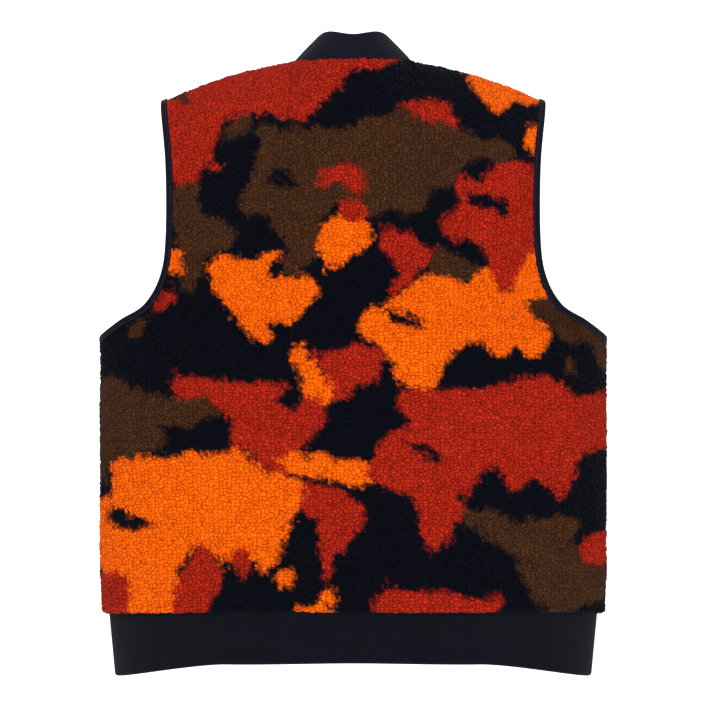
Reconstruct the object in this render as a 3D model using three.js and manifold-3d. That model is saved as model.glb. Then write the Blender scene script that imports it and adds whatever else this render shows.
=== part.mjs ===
// A zip-front fleece vest with a rib-knit collar and hem and bound armholes, held open as if worn.
// Millimetres, +Z up. The front faces -Y, so the wearer's left is +X. The origin is midway between
// the two points where the shoulder seams meet the neck.
import * as THREE from "three";
import { mergeVertices } from "three/addons/utils/BufferGeometryUtils.js";
import Module from "manifold-3d";

const wasm = await Module();
wasm.setup();

// ---- Driving dimensions ----
const SEAM_GAP = 0.2; // each panel's clearance to the seam plane y = 0
const CLEARANCE = 0.3; // between pieces that are sewn face to face

const chest = { halfWidth: 281, halfDepth: 80, squareness: 2.6 };
const shoulder = { slope: 0.311, tipX: 214, roundOver: 140, crown: 6 };
const neck = { halfWidth: 68, rise: 60, backDrop: 4, frontDrop: 85 };
const fleece = { thickness: 7, bottomZ: -603, cornerDrop: 8, hemTaper: 2, taperStartZ: -532 };
const underarmZ = -304;
const fold = { topX: 58, topZ: -55, bottomX: 225, topY: -82, bottomY: -70 }; // line each front opens about
const binding = { width: 9, proud: 0.8 };
const hem = { height: 57, cornerDrop: 18, flatHalf: 150, topInset: 10, bottomInset: 17, recess: 2, thickness: 4 };
const collar = {
  height: 28.5, frontHeight: 40, topHalfWidth: 38, thickness: 3.5, recess: 0.5, topBackY: 50, foldTurn: 0.62, seamGap: 1.7,
};
const zip = {
  fleeceEdgeX: 9, chainProud: 2.6, tapeWidth: 14, tapeThickness: 1, tapeSetback: 0.6, toothPitch: 8,
  toothHeight: 3.4, toothReach: 2.6, chainThickness: 4.6, spineWidth: 1.8, rowGap: 0.6, bottomLift: 4,
  topDrop: 3,
};
const slider = { width: 12, length: 15, plate: 1.8, bridgeHalf: 0.3, tapeSlot: 2.2 };
const pull = { pinRadius: 0.9, pinStandOff: 3.4, length: 34, width: 9, thickness: 1.8, eyeRadius: 2.6, eyeBore: 1.15 };
const zipEnd = { boxWidth: 7, boxHeight: 11, pinWidth: 2.4, pinHeight: 13, stopHeight: 3.2 };
const pocket = {
  mouthX: 140, mouthTopZ: -395, mouthLength: 150, mouthWidth: 8, weltMargin: 6, weltProud: 1,
  bagInnerX: 42, bagTopZ: -380, bagBottomZ: -588, depth: 9, ply: 1, bagMargin: 6,
};
const yoke = { halfWidth: 66, depth: 88, thickness: 0.8 };
const neckTape = { height: 11, thickness: 0.8 };
const loop = { halfWidth: 30, sag: 13, width: 7, thickness: 1.6 };
const label = { width: 46, height: 24, thickness: 0.5, topZ: -30 };

// ---- Materials ----
const finish = (color, roughness, metalness = 0) =>
  new THREE.MeshStandardMaterial({ color, roughness, metalness });
const fleeceFinish = finish(0xf26a12, 0.95);
const ribFinish = finish(0x171827, 0.85);
const tapeFinish = finish(0x15161f, 0.8);
const clothFinish = finish(0x1b1d2b, 0.8);
const toothFinish = finish(0x16171c, 0.45);
const metalFinish = finish(0x3a3c42, 0.35, 0.9);
const labelFinish = finish(0x20222e, 0.7);

// ---- The body form that every soft piece follows ----
// Height of the shoulder ridge over a point, which rises as a neck would between the neck points.
function ridgeZ(x) {
  const ax = Math.abs(x);
  if (ax < neck.halfWidth) return neck.rise * (1 - (ax / neck.halfWidth) ** 2) ** 1.3;
  const share = Math.min((ax - neck.halfWidth) / (shoulder.tipX - neck.halfWidth), 1);
  return shoulder.crown * Math.sin(Math.PI * share) - shoulder.slope * (ax - neck.halfWidth);
}

// Half width of the fleece at a height: straight, then drawn in a little towards the hem.
function fleeceHalfWidth(z) {
  const t = THREE.MathUtils.clamp((fleece.taperStartZ - z) / (fleece.taperStartZ - fleece.bottomZ), 0, 1);
  return chest.halfWidth - fleece.hemTaper * t * t;
}

const crossSection = (share) => Math.sqrt(Math.max(0, 1 - Math.abs(share) ** chest.squareness));

// A point on the vest's form, `inset` below its outer skin, at width x and height z of that skin.
// side is +1 on the back and -1 on the front.
function onForm(side, x, z, inset) {
  const share = THREE.MathUtils.clamp(x / fleeceHalfWidth(z), -1, 1);
  const ridge = ridgeZ(x);
  const drop = Math.max(0, ridge - z) / shoulder.roundOver;
  const over = drop < 1 ? Math.sqrt(1 - (1 - drop) ** 2) : 1;
  const height = drop < 1 ? ridge - inset - drop * (shoulder.roundOver - inset) : z;
  const y = SEAM_GAP + (chest.halfDepth - inset - SEAM_GAP) * crossSection(share) * over;
  return new THREE.Vector3(share * (fleeceHalfWidth(z) - inset), side * y, height);
}

// ---- Solids ----
// A closed solid between two grids of points, each given as a function of row and column.
function shell(rows, columns, outer, inner) {
  const points = [];
  const faces = [];
  const at = (layer, i, j) => (layer * (rows + 1) + i) * (columns + 1) + j;
  for (const skin of [outer, inner])
    for (let i = 0; i <= rows; i++)
      for (let j = 0; j <= columns; j++) points.push(skin(i / rows, j / columns));
  const quad = (a, b, c, d) => faces.push(a, b, c, a, c, d);
  for (let i = 0; i < rows; i++)
    for (let j = 0; j < columns; j++) {
      quad(at(0, i, j), at(0, i, j + 1), at(0, i + 1, j + 1), at(0, i + 1, j));
      quad(at(1, i, j), at(1, i + 1, j), at(1, i + 1, j + 1), at(1, i, j + 1));
    }
  for (let j = 0; j < columns; j++) {
    quad(at(0, 0, j), at(1, 0, j), at(1, 0, j + 1), at(0, 0, j + 1));
    quad(at(0, rows, j), at(0, rows, j + 1), at(1, rows, j + 1), at(1, rows, j));
  }
  for (let i = 0; i < rows; i++) {
    quad(at(0, i, 0), at(0, i + 1, 0), at(1, i + 1, 0), at(1, i, 0));
    quad(at(0, i, columns), at(1, i, columns), at(1, i + 1, columns), at(0, i + 1, columns));
  }
  return facingOut(new THREE.BufferGeometry().setFromPoints(points).setIndex(faces));
}

// Turns every face round if the solid was wound inside out, as a mirrored one is.
function facingOut(geometry) {
  const p = geometry.getAttribute("position");
  const index = geometry.index.array;
  const [a, b, c] = [new THREE.Vector3(), new THREE.Vector3(), new THREE.Vector3()];
  let volume = 0;
  for (let i = 0; i < index.length; i += 3) {
    a.fromBufferAttribute(p, index[i]);
    b.fromBufferAttribute(p, index[i + 1]);
    c.fromBufferAttribute(p, index[i + 2]);
    volume += a.dot(b.cross(c));
  }
  if (volume < 0)
    for (let i = 0; i < index.length; i += 3) [index[i + 1], index[i + 2]] = [index[i + 2], index[i + 1]];
  return geometry;
}

function toSolid(geometry) {
  const bare = new THREE.BufferGeometry().setAttribute("position", geometry.getAttribute("position"));
  if (geometry.index) bare.setIndex(geometry.index);
  const merged = mergeVertices(bare, 1e-4);
  return new wasm.Manifold(
    new wasm.Mesh({
      numProp: 3,
      vertProperties: new Float32Array(merged.getAttribute("position").array),
      triVerts: new Uint32Array(merged.index.array),
    }),
  );
}

function toGeometry(solid) {
  const mesh = solid.getMesh();
  return new THREE.BufferGeometry()
    .setAttribute("position", new THREE.BufferAttribute(new Float32Array(mesh.vertProperties), 3))
    .setIndex(new THREE.BufferAttribute(new Uint32Array(mesh.triVerts), 1));
}

function block(x0, x1, y0, y1, z0, z1) {
  return new THREE.BoxGeometry(Math.abs(x1 - x0), Math.abs(y1 - y0), Math.abs(z1 - z0))
    .translate((x0 + x1) / 2, (y0 + y1) / 2, (z0 + z1) / 2);
}

// A flat outline in X and Z, pushed through the garment along Y.
function throughFront(shape, y0, y1) {
  return new THREE.ExtrudeGeometry(shape, { depth: y1 - y0, bevelEnabled: false })
    .rotateX(Math.PI / 2).translate(0, y1, 0);
}

function rectangle(x0, x1, z0, z1) {
  return new THREE.Shape([
    new THREE.Vector2(x0, z0), new THREE.Vector2(x1, z0), new THREE.Vector2(x1, z1), new THREE.Vector2(x0, z1),
  ]);
}

// ---- Outlines of the panels, in X and Z ----
// The finished armhole edge, from the shoulder tip down to the underarm.
const tipZ = ridgeZ(shoulder.tipX);
const armholeDepth = tipZ - underarmZ;
const armhole = new THREE.SplineCurve([
  [shoulder.tipX, tipZ],
  [chest.halfWidth - 76, tipZ - 0.28 * armholeDepth],
  [chest.halfWidth - 77, tipZ - 0.58 * armholeDepth],
  [chest.halfWidth - 71, tipZ - 0.75 * armholeDepth],
  [chest.halfWidth - 53, tipZ - 0.87 * armholeDepth],
  [chest.halfWidth - 25, tipZ - 0.935 * armholeDepth],
  [chest.halfWidth, underarmZ],
].map(([x, z]) => new THREE.Vector2(x, z)));

// A point of the armhole edge, moved `inward` into the panel, and kept on the form.
function armholePoint(t, inward) {
  const p = armhole.getPointAt(1 - t);
  const along = armhole.getTangentAt(1 - t);
  const moved = new THREE.Vector2(p.x + along.y * inward, p.y - along.x * inward);
  moved.x = Math.min(moved.x, chest.halfWidth);
  if (t === 0) moved.set(chest.halfWidth, underarmZ - inward);
  if (t === 1) moved.y = ridgeZ(moved.x);
  return moved;
}

const bottomZ = (x) => fleece.bottomZ - fleece.cornerDrop * Math.abs(x / chest.halfWidth) ** 4;

// The panel's outer edge, from the hem corner (0) to the shoulder tip (1).
const ROWS = 20;
const UNDERARM_SHARE = 0.4;
const ARMHOLE_ROWS = ROWS * (1 - UNDERARM_SHARE);
const COLUMNS = 12;
const NECK_SHARE = 0.5;
const spread = (u) => Math.sin((u * Math.PI) / 2); // columns are closer together where the side turns
function panelEdge(v) {
  const inward = binding.width + CLEARANCE;
  if (v <= UNDERARM_SHARE) {
    const z = THREE.MathUtils.lerp(bottomZ(chest.halfWidth), underarmZ - inward, v / UNDERARM_SHARE);
    return new THREE.Vector2(fleeceHalfWidth(z), z);
  }
  return armholePoint((v - UNDERARM_SHARE) / (1 - UNDERARM_SHARE), inward);
}

function neckZ(side, x) {
  const share = Math.min(1, Math.abs(x) / neck.halfWidth);
  return side > 0
    ? -neck.backDrop * (1 - share ** 4)
    : -neck.frontDrop * Math.sqrt(1 - share * share);
}

const topZ = (side, x) => (Math.abs(x) < neck.halfWidth ? neckZ(side, x) : ridgeZ(x));

// Width and height of a panel's point: v runs up the panel and u from its inner to its outer edge.
// At the top, half of the columns fan round the neck, and one lands on the neck point.
function panelPoint(side, u, v, innerX) {
  const edge = panelEdge(v);
  const up = THREE.MathUtils.smoothstep(v, UNDERARM_SHARE, 1);
  const topX = u < NECK_SHARE
    ? THREE.MathUtils.lerp(innerX, neck.halfWidth, spread(u / NECK_SHARE))
    : THREE.MathUtils.lerp(neck.halfWidth, panelEdge(1).x, (u - NECK_SHARE) / (1 - NECK_SHARE));
  const topShare = (topX - innerX) / (panelEdge(1).x - innerX);
  const x = THREE.MathUtils.lerp(innerX, edge.x, THREE.MathUtils.lerp(spread(u), topShare, up));
  const down = 1 - Math.min(1, v / UNDERARM_SHARE);
  const z = edge.y + up * (topZ(side, topX) - panelEdge(1).y) + down * (bottomZ(x) - bottomZ(edge.x));
  return new THREE.Vector2(x, z);
}

// ---- Fleece panels ----
// The whole back, or one whole front from the zip to the side seam, between two depths below the skin.
function backSlab(near, far) {
  const skin = (inset) => (i, j) => {
    const u = 2 * j - 1;
    const p = panelPoint(1, Math.abs(u), i, 0);
    const at = onForm(1, p.x, p.y, inset);
    return at.setX(Math.sign(u) * at.x);
  };
  return shell(ROWS, 2 * COLUMNS, skin(near), skin(far));
}

function frontSlab(hand, near, far) {
  const skin = (inset) => (i, j) => {
    const p = panelPoint(-1, j, i, zip.fleeceEdgeX);
    const at = onForm(-1, p.x, p.y, inset);
    return at.setX(hand * at.x);
  };
  return toSolid(shell(ROWS, COLUMNS, skin(near), skin(far)));
}

// Where the fold that a front opens about crosses a height, and the front's outline inside it.
function foldX(z) {
  return fold.topX + ((fold.bottomX - fold.topX) * (fold.topZ - z)) / (fold.topZ - fleece.bottomZ);
}

function insideFold(gap) {
  const [high, low] = [150, -800];
  return new THREE.Shape([
    new THREE.Vector2(-20, low), new THREE.Vector2(foldX(low) + gap, low),
    new THREE.Vector2(foldX(high) + gap, high), new THREE.Vector2(-20, high),
  ]);
}

const openingPart = (solid, hand) => solid.intersect(frontCutter(insideFold(-CLEARANCE / 2), hand));
const fixedPart = (solid, hand) => solid.subtract(frontCutter(insideFold(CLEARANCE / 2), hand));

function pocketOutline(margin) {
  const half = pocket.mouthWidth / 2 + margin;
  return rectangle(
    pocket.mouthX - half, pocket.mouthX + half,
    pocket.mouthTopZ - pocket.mouthLength - margin, pocket.mouthTopZ + margin,
  );
}

// The outline pushed through the front of the garment on one hand.
function frontCutter(shape, hand) {
  const cutter = throughFront(shape, -chest.halfDepth - 20, -5);
  return toSolid(hand > 0 ? cutter : mirrored(cutter));
}

function mirrored(geometry) {
  const flipped = mergeVertices(bareOf(geometry), 1e-4).scale(-1, 1, 1);
  return facingOut(flipped);
}

function bareOf(geometry) {
  const bare = new THREE.BufferGeometry().setAttribute("position", geometry.getAttribute("position").clone());
  if (geometry.index) bare.setIndex(geometry.index.clone());
  return bare;
}

function frontPanel(hand) {
  const whole = openingPart(frontSlab(hand, 0, fleece.thickness), hand);
  return toGeometry(whole.subtract(frontCutter(pocketOutline(pocket.weltMargin + CLEARANCE), hand)));
}

const sidePanel = (hand) => toGeometry(fixedPart(frontSlab(hand, 0, fleece.thickness), hand));

// ---- Pockets: a welt frame in the panel's slot, and a pouch behind it ----
function pocketWelt(hand) {
  const slab = frontSlab(hand, -pocket.weltProud, fleece.thickness);
  return toGeometry(
    slab.intersect(frontCutter(pocketOutline(pocket.weltMargin), hand))
      .subtract(frontCutter(pocketOutline(0), hand)),
  );
}

function bagOutline(margin) {
  const outerX = pocket.mouthX + pocket.mouthWidth / 2 + pocket.bagMargin;
  return rectangle(
    pocket.bagInnerX + margin, outerX - margin, pocket.bagBottomZ + margin, pocket.bagTopZ - margin,
  );
}

function pocketBag(hand) {
  const front = fleece.thickness + CLEARANCE;
  const back = front + 2 * pocket.ply + pocket.depth;
  const slab = (near, far) => frontSlab(hand, near, far);
  const pouch = slab(front, back).intersect(frontCutter(bagOutline(0), hand));
  const hollow = slab(front + pocket.ply, back - pocket.ply).intersect(frontCutter(bagOutline(2), hand));
  const mouth = slab(front - 1, front + pocket.ply + 0.5).intersect(frontCutter(pocketOutline(0), hand));
  return toGeometry(pouch.subtract(hollow).subtract(mouth));
}

// ---- Armhole binding: a strip folded over the edge, split at the shoulder and side seams ----
function armholeBinding(side, hand) {
  const skin = (inset) => (i, j) => {
    const p = armholePoint(i, binding.width * (1 - j));
    const at = onForm(side, p.x, p.y, inset);
    return at.setX(hand * at.x);
  };
  return shell(ARMHOLE_ROWS, 2, skin(-binding.proud), skin(fleece.thickness + binding.proud));
}

// ---- Hem rib ----
function hemBottomZ(x) {
  const out = Math.max(0, Math.abs(x) - hem.flatHalf) / (chest.halfWidth - hem.flatHalf);
  return fleece.bottomZ - hem.height - hem.cornerDrop * out ** 1.4;
}

function onHem(side, x, v, inset) {
  const share = THREE.MathUtils.clamp(x / chest.halfWidth, -1, 1);
  const halfWidth = chest.halfWidth - THREE.MathUtils.lerp(hem.bottomInset, hem.topInset, v) - inset;
  const z = THREE.MathUtils.lerp(hemBottomZ(x), bottomZ(x) - CLEARANCE, v);
  const y = SEAM_GAP + (chest.halfDepth - hem.recess - inset - SEAM_GAP) * crossSection(share);
  return new THREE.Vector3(share * halfWidth, side * y, z);
}

function hemBack() {
  const skin = (inset) => (i, j) => {
    const u = 2 * j - 1;
    return onHem(1, Math.sign(u) * spread(Math.abs(u)) * chest.halfWidth, i, inset);
  };
  return shell(2, 30, skin(0), skin(hem.thickness));
}

function hemFront(hand, part) {
  const skin = (inset) => (i, j) => {
    const at = onHem(-1, THREE.MathUtils.lerp(zip.fleeceEdgeX, chest.halfWidth, spread(j)), i, inset);
    return at.setX(hand * at.x);
  };
  return toGeometry(part(toSolid(shell(2, 15, skin(0), skin(hem.thickness))), hand));
}

// ---- Collar: a folded rib strip standing on the neck seam ----
// turn runs from the centre back (0) over the shoulder seam (0.5) to the centre front (1).
function collarSkin(turn, v) {
  const angle = Math.PI * turn;
  const side = turn <= 0.5 ? 1 : -1;
  const x = neck.halfWidth * Math.sin(angle);
  const base = onForm(side, x, neckZ(side, x), collar.recess);
  base.z += collar.recess + collar.seamGap;
  const frontY = -(chest.halfDepth - collar.recess);
  const topX = collar.topHalfWidth * Math.sin(angle);
  const topY = (collar.topBackY + frontY) / 2
    + side * ((collar.topBackY - frontY) / 2) * crossSection(Math.sin(angle));
  const backTop = collar.height - neck.backDrop;
  const frontTop = collar.frontHeight - neck.frontDrop;
  const fall = THREE.MathUtils.smoothstep(turn, 0.4, 1);
  const top = new THREE.Vector3(topX, topY, THREE.MathUtils.lerp(backTop, frontTop, fall));
  const bulge = 2 * Math.sin(Math.PI * v);
  return base.lerp(top, v).add(new THREE.Vector3(bulge * Math.sin(angle), bulge * Math.cos(angle), 0));
}

// The same point, moved in by `inset` square to the collar's skin. Its lower edge stays level.
function collarPoint(turn, v, inset) {
  const at = collarSkin(turn, v);
  if (inset === 0) return at;
  const step = 0.02;
  const [t0, t1] = [Math.max(0, turn - step), Math.min(1, turn + step)];
  const [v0, v1] = [Math.max(0, v - 0.2), Math.min(1, v + 0.2)];
  const around = collarSkin(t1, v).sub(collarSkin(t0, v));
  const up = collarSkin(turn, v1).sub(collarSkin(turn, v0));
  const normal = around.cross(up).normalize();
  at.addScaledVector(normal, -inset);
  at.z += inset * normal.z * (1 - v);
  return at;
}

function collarPiece(fromTurn, toTurn, hand, columns) {
  const skin = (inset) => (i, j) => {
    const at = collarPoint(THREE.MathUtils.lerp(fromTurn, toTurn, j), i, inset);
    return at.setX(hand * Math.max(at.x, toTurn === 1 ? zip.fleeceEdgeX : 0));
  };
  return shell(3, columns, skin(0), skin(collar.thickness));
}

const SHOULDER_TURN = 0.5;
const SPLIT = 0.002; // half the gap between the collar's back and its front ends, as a share of a turn

function collarBack() {
  const end = SHOULDER_TURN - SPLIT;
  const skin = (inset) => (i, j) => {
    const u = 2 * j - 1;
    const at = collarPoint(Math.abs(u) * end, i, inset);
    return at.setX(Math.sign(u) * at.x);
  };
  return shell(3, 24, skin(0), skin(collar.thickness));
}

const collarFront = (hand) => collarPiece(collar.foldTurn + SPLIT, 1, hand, 12);
const collarSide = (hand) => collarPiece(SHOULDER_TURN + SPLIT, collar.foldTurn - SPLIT, hand, 4);

// ---- Inside back neck ----
// A layer of the given outline, sewn flat behind the back between two depths below the skin.
function insideBack(shape, near, far) {
  return toGeometry(toSolid(backSlab(near, far)).intersect(toSolid(throughFront(shape, 5, chest.halfDepth + 5))));
}

const yokeInset = fleece.thickness + CLEARANCE;
const tapeInset = yokeInset + yoke.thickness + CLEARANCE;

function backYoke() {
  const shape = new THREE.Shape();
  const straight = yoke.depth * 0.35;
  shape.moveTo(-yoke.halfWidth, 5);
  shape.lineTo(-yoke.halfWidth, -straight);
  shape.absellipse(0, -straight, yoke.halfWidth, yoke.depth - straight, Math.PI, 2 * Math.PI, false);
  shape.lineTo(yoke.halfWidth, 5);
  return insideBack(shape, yokeInset, yokeInset + yoke.thickness);
}

function tapeOverSeam() {
  const half = yoke.halfWidth - 8;
  const top = -neck.backDrop - 3;
  return insideBack(rectangle(-half, half, top - neckTape.height, top), tapeInset, tapeInset + neckTape.thickness);
}

function neckLabel() {
  const half = label.width / 2;
  return insideBack(
    rectangle(-half, half, label.topZ - label.height, label.topZ), tapeInset, tapeInset + label.thickness,
  );
}

const facetAllowance = 0.015 * chest.halfDepth; // the loop's facets are longer than the tape's
const tapeFaceInset = tapeInset + neckTape.thickness + facetAllowance;

function hangerLoop() {
  const rise = loop.sag;
  const skin = (grow, inset) => (i, j) => {
    const u = 2 * j - 1;
    const x = u * loop.halfWidth;
    const z = -8 - rise * (1 - u * u) - loop.width * (1 - i);
    return onForm(1, x, z, inset + grow * (1 - u * u));
  };
  const near = tapeFaceInset;
  return shell(1, 16, skin(6, near), skin(6, near + loop.thickness));
}

// ---- Zip ----
const tapeFrontY = -(chest.halfDepth - fleece.thickness - zip.tapeSetback);
const chainY = tapeFrontY - zip.chainProud; // front face of the teeth
const chainBackY = chainY + zip.chainThickness;
const zipBottomZ = fleece.bottomZ - hem.height + zip.bottomLift;
const zipTopZ = collar.frontHeight - neck.frontDrop - zip.topDrop;
const chainBottomZ = zipBottomZ + zipEnd.pinHeight + 1;
const spineInnerX = zip.rowGap + zip.toothReach;
const spineOuterX = spineInnerX + zip.spineWidth;

function handed(geometry, hand) {
  return hand > 0 ? geometry : mirrored(geometry);
}

// The left tape is notched beside the slider at both ends of its travel, to let the slider go.
function zipTape(hand) {
  const x0 = spineOuterX + CLEARANCE;
  const x1 = x0 + zip.tapeWidth;
  const notch = hand > 0 ? slider.width / 2 + 2 : x0;
  const low = chainBottomZ + slider.length + 2;
  const high = zipTopZ - zipEnd.stopHeight - slider.length - 2;
  const shape = new THREE.Shape([
    [x1, zipBottomZ], [x1, zipTopZ], [notch, zipTopZ], [notch, high], [x0, high], [x0, low], [notch, low],
    [notch, zipBottomZ],
  ].map(([x, z]) => new THREE.Vector2(x, z)));
  return handed(throughFront(shape, tapeFrontY, tapeFrontY + zip.tapeThickness), hand);
}

// A comb: the moulded row of teeth on its beaded edge. The left row stops short of the slider at both
// ends of its travel, so that the fronts come apart there, and the right row runs on through it.
function zipTeeth(hand) {
  const low = chainBottomZ + (hand > 0 ? slider.length + 2 : 0);
  const high = zipTopZ - zipEnd.stopHeight - (hand > 0 ? slider.length + 2 : CLEARANCE);
  const outline = [
    new THREE.Vector2(spineOuterX, low), new THREE.Vector2(spineOuterX, high), new THREE.Vector2(spineInnerX, high),
  ];
  const count = Math.floor((high - low) / zip.toothPitch);
  for (let i = count - 1; i >= 0; i--) {
    const foot = low + (i + (hand > 0 ? 0.25 : 0.5)) * zip.toothPitch;
    outline.push(
      new THREE.Vector2(spineInnerX, foot + zip.toothHeight), new THREE.Vector2(zip.rowGap, foot + zip.toothHeight),
      new THREE.Vector2(zip.rowGap, foot), new THREE.Vector2(spineInnerX, foot),
    );
  }
  outline.push(new THREE.Vector2(spineInnerX, low));
  return handed(throughFront(new THREE.Shape(outline), chainY, chainBackY), hand);
}

function topStop(hand) {
  return handed(
    block(zip.rowGap + 0.4, spineOuterX, chainY, chainBackY, zipTopZ - zipEnd.stopHeight, zipTopZ), hand,
  );
}

// The insertion pin on the left row, and the retainer box on the right row.
function insertionPin() {
  return block(zip.rowGap, zip.rowGap + zipEnd.pinWidth, chainY, chainBackY, zipBottomZ, zipBottomZ + zipEnd.pinHeight);
}

function retainerBox() {
  const y0 = chainY - 0.8;
  const y1 = chainBackY - 2.4;
  return block(-zip.rowGap, -zip.rowGap - zipEnd.boxWidth, y0, y1, zipBottomZ, zipBottomZ + zipEnd.boxHeight);
}

// ---- Slider: two plates joined by a thin bridge that runs between the rows ----
const sliderTopZ = zipTopZ - zipEnd.stopHeight - 1;
const sliderMidZ = sliderTopZ - slider.length / 2;
const pinY = chainY - CLEARANCE - slider.plate - pull.pinStandOff;
const pinZ = sliderMidZ + 1;

function sliderPlate(y0, y1) {
  const half = slider.width / 2;
  const low = sliderTopZ - slider.length;
  const shape = new THREE.Shape();
  shape.moveTo(-half + 1.5, low);
  shape.lineTo(half - 1.5, low);
  shape.lineTo(half, sliderTopZ - 4);
  shape.absarc(half - 3, sliderTopZ - 3, 3, 0, Math.PI / 2, false);
  shape.lineTo(0, sliderTopZ - 1);
  shape.absarc(-half + 3, sliderTopZ - 3, 3, Math.PI / 2, Math.PI, false);
  shape.lineTo(-half, sliderTopZ - 4);
  return toSolid(throughFront(shape, y0, y1));
}

function zipSlider() {
  const faceY = chainY - CLEARANCE;
  const backY = chainBackY + CLEARANCE;
  const half = slider.width / 2;
  const low = sliderTopZ - slider.length;
  let body = sliderPlate(faceY - slider.plate, faceY).add(sliderPlate(backY, backY + slider.plate));
  body = body.add(toSolid(block(
    -slider.bridgeHalf, slider.bridgeHalf, faceY - 0.5, backY + 0.5, low + 3, sliderTopZ - 2,
  )));
  for (const hand of [1, -1]) {
    const x0 = spineOuterX + CLEARANCE;
    const tapeMidY = -(chest.halfDepth - fleece.thickness - CLEARANCE) + zip.tapeThickness / 2;
    body = body.add(toSolid(handed(
      block(x0, half, faceY - 0.5, tapeMidY - slider.tapeSlot / 2, low + 2, sliderTopZ - 4), hand,
    )));
    body = body.add(toSolid(handed(
      block(pull.width / 2 - 2.1, pull.width / 2 - 0.6, pinY - 1.4, faceY - 0.5, pinZ - 2.2, pinZ + 2.2), hand,
    )));
  }
  const pin = new THREE.CylinderGeometry(pull.pinRadius, pull.pinRadius, pull.width - 2, 16)
    .rotateZ(Math.PI / 2).translate(0, pinY, pinZ);
  return toGeometry(body.add(toSolid(pin)));
}

// The pull hangs from the slider's pin by an eye, and widens to a finger tab.
const eyeHalf = pull.width / 2 - 2.1 - CLEARANCE;
function pullTab() {
  const eye = new THREE.CylinderGeometry(pull.eyeRadius, pull.eyeRadius, 2 * eyeHalf, 20).rotateZ(Math.PI / 2);
  const tabTop = -pull.eyeRadius + 0.6;
  const shape = new THREE.Shape();
  const half = pull.width / 2;
  shape.moveTo(-eyeHalf, tabTop);
  shape.lineTo(-half, tabTop - 6);
  shape.lineTo(-half, -pull.length + half);
  shape.absarc(0, -pull.length + half, half, Math.PI, 2 * Math.PI, false);
  shape.lineTo(half, tabTop - 6);
  shape.lineTo(eyeHalf, tabTop);
  const tab = throughFront(shape, -pull.thickness / 2, pull.thickness / 2);
  const bore = new THREE.CylinderGeometry(pull.eyeBore, pull.eyeBore, pull.width, 20).rotateZ(Math.PI / 2);
  const solid = toSolid(eye).add(toSolid(tab)).subtract(toSolid(bore));
  return toGeometry(solid).translate(0, pinY, pinZ);
}

// ---- Assembly ----
function piece(name, geometry, material) {
  const mesh = new THREE.Mesh(geometry, material);
  mesh.name = name;
  return mesh;
}

const vest = new THREE.Group();
vest.add(
  piece("back_panel", backSlab(0, fleece.thickness), fleeceFinish),
  piece("hem_rib_back", hemBack(), ribFinish),
  piece("collar_back", collarBack(), ribFinish),
  piece("back_yoke_facing", backYoke(), clothFinish),
  piece("neck_tape", tapeOverSeam(), tapeFinish),
  piece("hanger_loop", hangerLoop(), tapeFinish),
  piece("neck_label", neckLabel(), labelFinish),
);

for (const [word, hand] of [["left", 1], ["right", -1]]) {
  const front = new THREE.Group();
  front.add(
    piece(`${word}_front_panel`, frontPanel(hand), fleeceFinish),
    piece(`hem_rib_${word}_front`, hemFront(hand, openingPart), ribFinish),
    piece(`collar_${word}_front`, collarFront(hand), ribFinish),
    piece(`pocket_welt_${word}`, pocketWelt(hand), tapeFinish),
    piece(`pocket_bag_${word}`, pocketBag(hand), clothFinish),
    piece(`zip_tape_${word}`, zipTape(hand), tapeFinish),
    piece(`zip_teeth_${word}`, zipTeeth(hand), toothFinish),
    piece(`zip_top_stop_${word}`, topStop(hand), metalFinish),
  );
  const side = new THREE.Group();
  side.add(
    piece(`${word}_side_panel`, sidePanel(hand), fleeceFinish),
    piece(`hem_rib_${word}_side`, hemFront(hand, fixedPart), ribFinish),
    piece(`collar_${word}_side`, collarSide(hand), ribFinish),
    piece(`armhole_binding_${word}_front`, armholeBinding(-1, hand), tapeFinish),
    piece(`armhole_binding_${word}_back`, armholeBinding(1, hand), tapeFinish),
  );
  vest.add(front, side);
}

vest.add(
  piece("zip_insertion_pin", insertionPin(), toothFinish),
  piece("zip_retainer_box", retainerBox(), toothFinish),
  piece("zip_slider", zipSlider(), metalFinish),
  piece("zip_pull", pullTab(), metalFinish),
);

export default vest;
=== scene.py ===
"""A zip-front pile fleece vest with a rib-knit collar and hem, seen from the back."""
import math

import bmesh
import bpy
import mathutils
import numpy as np
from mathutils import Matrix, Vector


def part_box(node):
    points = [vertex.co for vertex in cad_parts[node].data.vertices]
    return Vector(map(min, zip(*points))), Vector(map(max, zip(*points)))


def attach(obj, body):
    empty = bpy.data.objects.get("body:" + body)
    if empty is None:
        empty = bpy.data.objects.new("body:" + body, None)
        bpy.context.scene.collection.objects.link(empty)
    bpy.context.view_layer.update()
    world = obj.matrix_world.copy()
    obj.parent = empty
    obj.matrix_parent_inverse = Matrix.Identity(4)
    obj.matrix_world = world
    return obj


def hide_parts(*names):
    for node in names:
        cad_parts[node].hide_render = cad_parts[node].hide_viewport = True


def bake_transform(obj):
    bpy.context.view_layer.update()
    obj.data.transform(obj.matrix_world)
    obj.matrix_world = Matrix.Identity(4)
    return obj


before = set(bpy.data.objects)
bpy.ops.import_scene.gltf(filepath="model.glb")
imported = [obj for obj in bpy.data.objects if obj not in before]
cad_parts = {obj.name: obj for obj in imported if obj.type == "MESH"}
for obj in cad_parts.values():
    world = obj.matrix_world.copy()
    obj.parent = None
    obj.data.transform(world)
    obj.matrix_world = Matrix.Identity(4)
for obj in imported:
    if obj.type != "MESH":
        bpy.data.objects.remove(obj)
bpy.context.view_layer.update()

# --- Back fleece ---
# One panel of high-pile fleece, cut with the armholes and the back neck, with its curls outside and a
# smooth knitted backing inside. The curls pack close, about 6 mm each, with thin gaps between that carry
# painted shade.
CHEST_HALF, CHEST_DEPTH, ROUNDNESS = 0.281, 0.080, 2.6
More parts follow.
